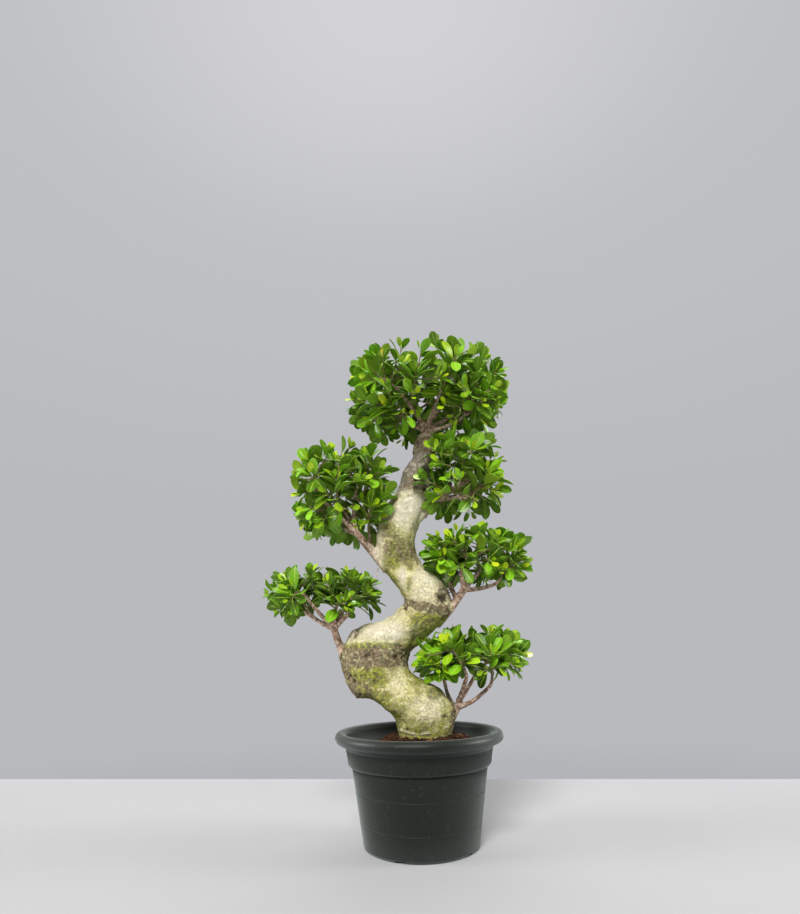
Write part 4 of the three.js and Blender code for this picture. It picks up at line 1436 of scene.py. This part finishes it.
def drain_cutters():
    """The drain holes and the notches in the foot ring, as one piece to cut with."""
    cutters = []
    length, width, height = DRAIN["notch"]
    for number in range(DRAIN["count"]):
        angle = math.radians(DRAIN["first"] + number * 360 / DRAIN["count"])
        toward = Vector((math.cos(angle), math.sin(angle), 0))
        clear_selection()
        bpy.ops.mesh.primitive_cylinder_add(
            vertices=24, radius=DRAIN["radius"] * MM, depth=3 * POT["floor"] * MM,
            location=toward * DRAIN["ring"] * MM + Vector((0, 0, POT["floor"] * MM)),
        )
        cutters.append(bpy.context.object)
        bpy.ops.mesh.primitive_cube_add(
            size=MM, location=toward * (POT["foot"]["inner"] + POT["foot"]["outer"]) / 2 * MM,
            rotation=(0, 0, angle), scale=(length, width, 2 * height),
        )
        cutters.append(bpy.context.object)
    take(cutters[0])
    for cutter in cutters:
        cutter.select_set(True)
    bpy.ops.object.join()
    return bpy.context.object


def make_pot(material):
    pot = turned("grower_pot", pot_profile())
    sharp = math.radians(40)
    apply_modifier(pot, "BEVEL", width=0.5 * MM, segments=2, limit_method="ANGLE", angle_limit=sharp)
    cutter = drain_cutters()
    apply_modifier(pot, "BOOLEAN", object=cutter, operation="DIFFERENCE", solver="EXACT")
    bpy.data.objects.remove(cutter)
    x, y, z = places_of(pot.data).T
    radius = np.hypot(x, y)
    on_rim = smooth_step(POT["neck_top"][1] + 6, POT["rim"]["height"] + POT["rim"]["roll"], z)
    outer = [POT[ring] for ring in ("base", "body", "shoulder", "neck_low", "neck_top")]
    outer_radius = np.interp(z, [height for _, height in outer], [width for width, _ in outer])
    inner = (radius < outer_radius - POT["wall"] / 2) * smooth_step(100, 120, z)
    # Painted highlight: the rim gets lighter and glossier towards its left and right sides.
    aside = 0.1 + 0.9 * smooth_step(25, 95, np.abs(x))
    low = smooth_step(14, 0, z)
    paint(pot.data, "rim", on_rim * aside * (radius > POT["rim"]["radius"] - 4))
    paint(pot.data, "dust_and_rim_highlight", most(1.6 * inner, 0.9 * on_rim * aside, 0.5 * low))
    finish(pot, material, "pot", POT_EDGE, "pot")


# Potting mix

CHIPS = {"count": 900, "kinds": 3, "tries": 20, "least": 1.6, "more": 4.2, "tilt": 0.9, "rise": 0.7}
CHIP = {"width": 0.42, "thickness": 0.2, "thicker": 0.06, "end_width": 0.45, "end_thickness": 0.7,
        "end_aside": 0.1, "ragged": 0.16}
FIBRES = {"count": 130, "least": 6, "more": 9, "rise": 0.3, "hump": 3}
FIBRE_RADII = [0.18, 0.3, 0.32, 0.32, 0.3, 0.25, 0.12]
INSIDE_POT = radius_between(POT["neck_low"], POT["neck_top"], SOIL["edge_top"]) - POT["wall"]


def off_trunk(x, y):
    """How far a place lies from the foot of the trunk."""
    left, right = TRUNK_EDGES[0][0], TRUNK_EDGES[0][2]
    return np.hypot(x - (left + right) / 2, y) - (right - left) / 2


def soil_height(x, y):
    """The mound round the foot of the trunk."""
    away = np.maximum(0, off_trunk(x, y)) / SOIL["spread"]
    return lerp(SOIL["edge_top"], SOIL["trunk_top"], np.exp(-away * away))


def make_soil(material):
    """Potting mix that fills the pot up to its uneven mound."""
    edge = INSIDE_POT - SEAT_GAP
    spare = POT["wall"] + SEAT_GAP
    profile = [
        (POT["base"][0] - spare, POT["floor"] + SEAT_GAP),
        (POT["body"][0] - spare, POT["body"][1]),
        (POT["neck_low"][0] - spare, POT["neck_low"][1] + SEAT_GAP),
    ]
    profile += [(lerp(edge, 20, step / 24), SOIL["edge_top"]) for step in range(25)]
    soil = turned("soil_mix", profile)
    places = places_of(soil.data)
    x, y, z = places.T
    top = z > SOIL["edge_top"] - 0.1
    loose = smooth_step(edge, edge - 6, np.hypot(x, y))
    crumbs = 1.5 * cloud(places, 8, 0) + 1.0 * cloud(places, 3.5, 2.2)
    places[:, 2] += top * (soil_height(x, y) - SOIL["edge_top"] + loose * crumbs)
    put_places(soil.data, places)
    paint(soil.data, "tone", np.clip(0.3 + 0.5 * cloud(places, 5, 4.4), 0, 0.8))
    finish(soil, material, "soil", 60, "soil")


def model_chip(kind):
    """One splinter of bark, ragged in its own way."""
    clear_selection()
    bpy.ops.mesh.primitive_cube_add(size=2)
    chip = bpy.context.object
    bpy.ops.object.mode_set(mode="EDIT")
    bpy.ops.mesh.subdivide(number_cuts=1)
    bpy.ops.transform.resize(value=(1, CHIP["width"], CHIP["thickness"] + CHIP["thicker"] * kind))
    pick(lambda place: place.x > 0.5)
    end = (1, CHIP["end_width"], CHIP["end_thickness"])
    bpy.ops.transform.resize(value=end, center_override=(1, CHIP["end_aside"] * kind, 0))
    bpy.ops.object.mode_set(mode="OBJECT")
    shape = places_of(chip.data) * MM
    ragged = [[draw(kind, index, axis) - 0.5 for axis in range(3)] for index in range(len(shape))]
    faces = faces_of(chip.data)
    bpy.data.objects.remove(chip)
    return shape + CHIP["ragged"] * np.array(ragged), faces


def turned_about(places, tilt, turn):
    """Places tipped about x and then turned about z."""
    tip = np.array([[1, 0, 0], [0, math.cos(tilt), -math.sin(tilt)], [0, math.sin(tilt), math.cos(tilt)]])
    spin = np.array([[math.cos(turn), -math.sin(turn), 0], [math.sin(turn), math.cos(turn), 0], [0, 0, 1]])
    return places @ (spin @ tip).T


def scatter(number, spare):
    """A place on the mound, clear of the trunk and of the wall."""
    for attempt in range(CHIPS["tries"]):
        radius = (INSIDE_POT - 1 - spare) * math.sqrt(draw(number, attempt, 1))
        turn = FULL_TURN * draw(number, attempt, 2)
        x, y = radius * math.cos(turn), radius * math.sin(turn)
        if off_trunk(x, y) > 0.4 * spare:
            return np.array([x, y, soil_height(x, y)])
    return None


def make_crumbs(material):
    """Loose bark chips and coir fibres on the soil."""
    kinds = [model_chip(kind) for kind in range(CHIPS["kinds"])]
    meshes, tones = [], []
    for number in range(CHIPS["count"]):
        length = CHIPS["least"] + CHIPS["more"] * draw(number, 3, 3) ** 2
        at = scatter(number, length)
        if at is not None:
            shape, faces = kinds[number % CHIPS["kinds"]]
            tilt = CHIPS["tilt"] * (draw(number, 4, 4) - 0.5)
            placed = turned_about(shape * length, tilt, FULL_TURN * draw(number, 5, 5))
            meshes.append((placed + at + UP * CHIPS["rise"], faces))
            tones.append(draw(number, 6, 6))
    for number in range(FIBRES["count"]):
        reach = FIBRES["least"] + FIBRES["more"] * draw(number, 13, 7)
        at = scatter(number + 0.5, reach)
        if at is not None:
            turn = FULL_TURN * draw(number, 14, 8)
            run = np.array([math.cos(turn), math.sin(turn), 0]) * reach
            bow = np.array([-run[1], run[0], 0]) * (draw(number, 15, 9) - 0.5)
            ends = [at - run, at + run]
            for end in ends:
                end[2] = soil_height(end[0], end[1]) + FIBRES["rise"]
            line = Bezier(ends[0], at + bow + UP * FIBRES["hump"], ends[1])
            meshes.append(tube(line, np.linspace(0, 1, len(FIBRE_RADII)), FIBRE_RADII, 4))
            tones.append(0.75 + 0.25 * draw(number, 16, 1))
    crumbs = new_piece("soil_crumbs", *merged(meshes))
    paint(crumbs.data, "tone", np.repeat(tones, [len(places) for places, faces in meshes]))
    finish(crumbs, material, "soil", 35)


# Stage

FLOOR = {"back_left": (-948, 515), "back_right": (766, 343), "reach": 2600}
CAMERA = {"place": (-22, -850, 267), "pitch": 8.07, "roll": 1.26, "focal": 574, "low": 114}
FRAME_HEIGHT = 914
SENSOR = 36
GLOW = (0, 0.603, 0.798)
# Even lights from far away, as from large soft panels: the way to each, its spread and its strength.
SUNS = {
    "key": ((-0.22, -1, 0.9), 22, 3.7),
    "left": ((-1, -0.1, 0.35), 24, 1.5),
    "right": ((1, -0.05, 0.4), 24, 1.5),
    "top": ((0.1, 0.55, 1), 50, 0.9),
}


def make_camera():
    data = bpy.data.cameras.new("camera")
    data.sensor_width = SENSOR
    data.lens = CAMERA["focal"] / FRAME_HEIGHT * SENSOR
    data.shift_y = CAMERA["low"] / FRAME_HEIGHT
    data.clip_start = 0.01
    camera = link("camera", data)
    camera.location = Vector(CAMERA["place"]) * MM
    pitch = Matrix.Rotation(math.radians(90 + CAMERA["pitch"]), 3, "X")
    roll = Matrix.Rotation(math.radians(-CAMERA["roll"]), 3, "Z")
    camera.rotation_mode = "QUATERNION"
    camera.rotation_quaternion = (pitch @ roll).to_quaternion()
    bpy.context.scene.camera = camera


def make_floor():
    """A pale floor whose far edge shows as a level line."""
    (left_x, left_y), (right_x, right_y) = FLOOR["back_left"], FLOOR["back_right"]
    slope = (right_y - left_y) / (right_x - left_x)
    reach = FLOOR["reach"]
    corners = [(-reach, -reach, 0), (reach, -reach, 0)]
    corners += [(x, left_y + slope * (x - left_x), 0) for x in (reach, -reach)]
    floor = new_piece("floor", corners, [[0, 1, 2, 3]])
    pale = Finish("pale floor")
    tone = pale.blend(pale.mottle(scale=3, low=0.3, high=0.7), (0.43, 0.43, 0.438), (0.44, 0.44, 0.448))
    floor.data.materials.append(pale.surface({"Base Color": tone, "Roughness": 0.75}))


def make_suns():
    for name, (toward, angle, strength) in SUNS.items():
        data = bpy.data.lights.new(name, "SUN")
        data.angle = math.radians(angle)
        data.energy = strength
        light = link(name, data)
        light.location = Vector(toward).normalized()
        light.rotation_mode = "QUATERNION"
        light.rotation_quaternion = Vector(toward).to_track_quat("Z", "Y")


def make_backdrop():
    """A soft grey backdrop that is brightest above the tree, and the room's even light."""
    world = bpy.data.worlds.new("studio")
    bpy.context.scene.world = world
    world.use_nodes = True
    world.node_tree.nodes.clear()
    room = Nodes(world.node_tree)
    heading = room.put("TexCoord")["Generated"]
    rise = room.put("SeparateXYZ", {"Vector": heading})["Z"]
    off = room.put("VectorMath", {0: heading, 1: GLOW}, operation="SUBTRACT")["Vector"]
    off = room.put("VectorMath", {0: off, 1: (0.6, 1, 1)}, operation="MULTIPLY")["Vector"]
    away = room.put("VectorMath", {0: off}, operation="LENGTH")["Value"]
    seen = room.coats(
        room.blend(room.between(rise, -0.2, -0.13), (0.447, 0.455, 0.48), (0.485, 0.491, 0.515)),
        (room.between(away, 0.7, 0.3), 1, (0.520, 0.527, 0.55)),
        (room.between(away, 0.34, 0.0), 1, (0.651, 0.651, 0.668)),
    )
    shown = room.put("Background", {"Color": seen, "Strength": 1.0})[0]
    strength = room.between(rise, -0.1, 1.0, 0.08, 0.3)
    light = room.put("Background", {"Color": (1, 1, 1), "Strength": strength})[0]
    eye = room.put("LightPath")["Is Camera Ray"]
    room.put("OutputWorld", {"Surface": room.put("MixShader", {0: eye, 1: light, 2: shown})[0]})
    bpy.context.scene.view_settings.view_transform = "Standard"


# The whole tree

make_camera()
make_floor()
make_backdrop()
make_suns()
sprays = find_sprays()
bark = bark_material()
wood_tree = make_wood(sprays, bark)
make_aerial_root(bark)
grow_foliage(sprays, wood_tree)
leaf_shape = model_leaf()
leaf_finish = leaf_material()
for spray in sprays:
    make_spray(spray, leaf_shape, leaf_finish)
make_pot(plastic_material())
mix_finish = soil_material()
make_soil(mix_finish)
make_crumbs(mix_finish)
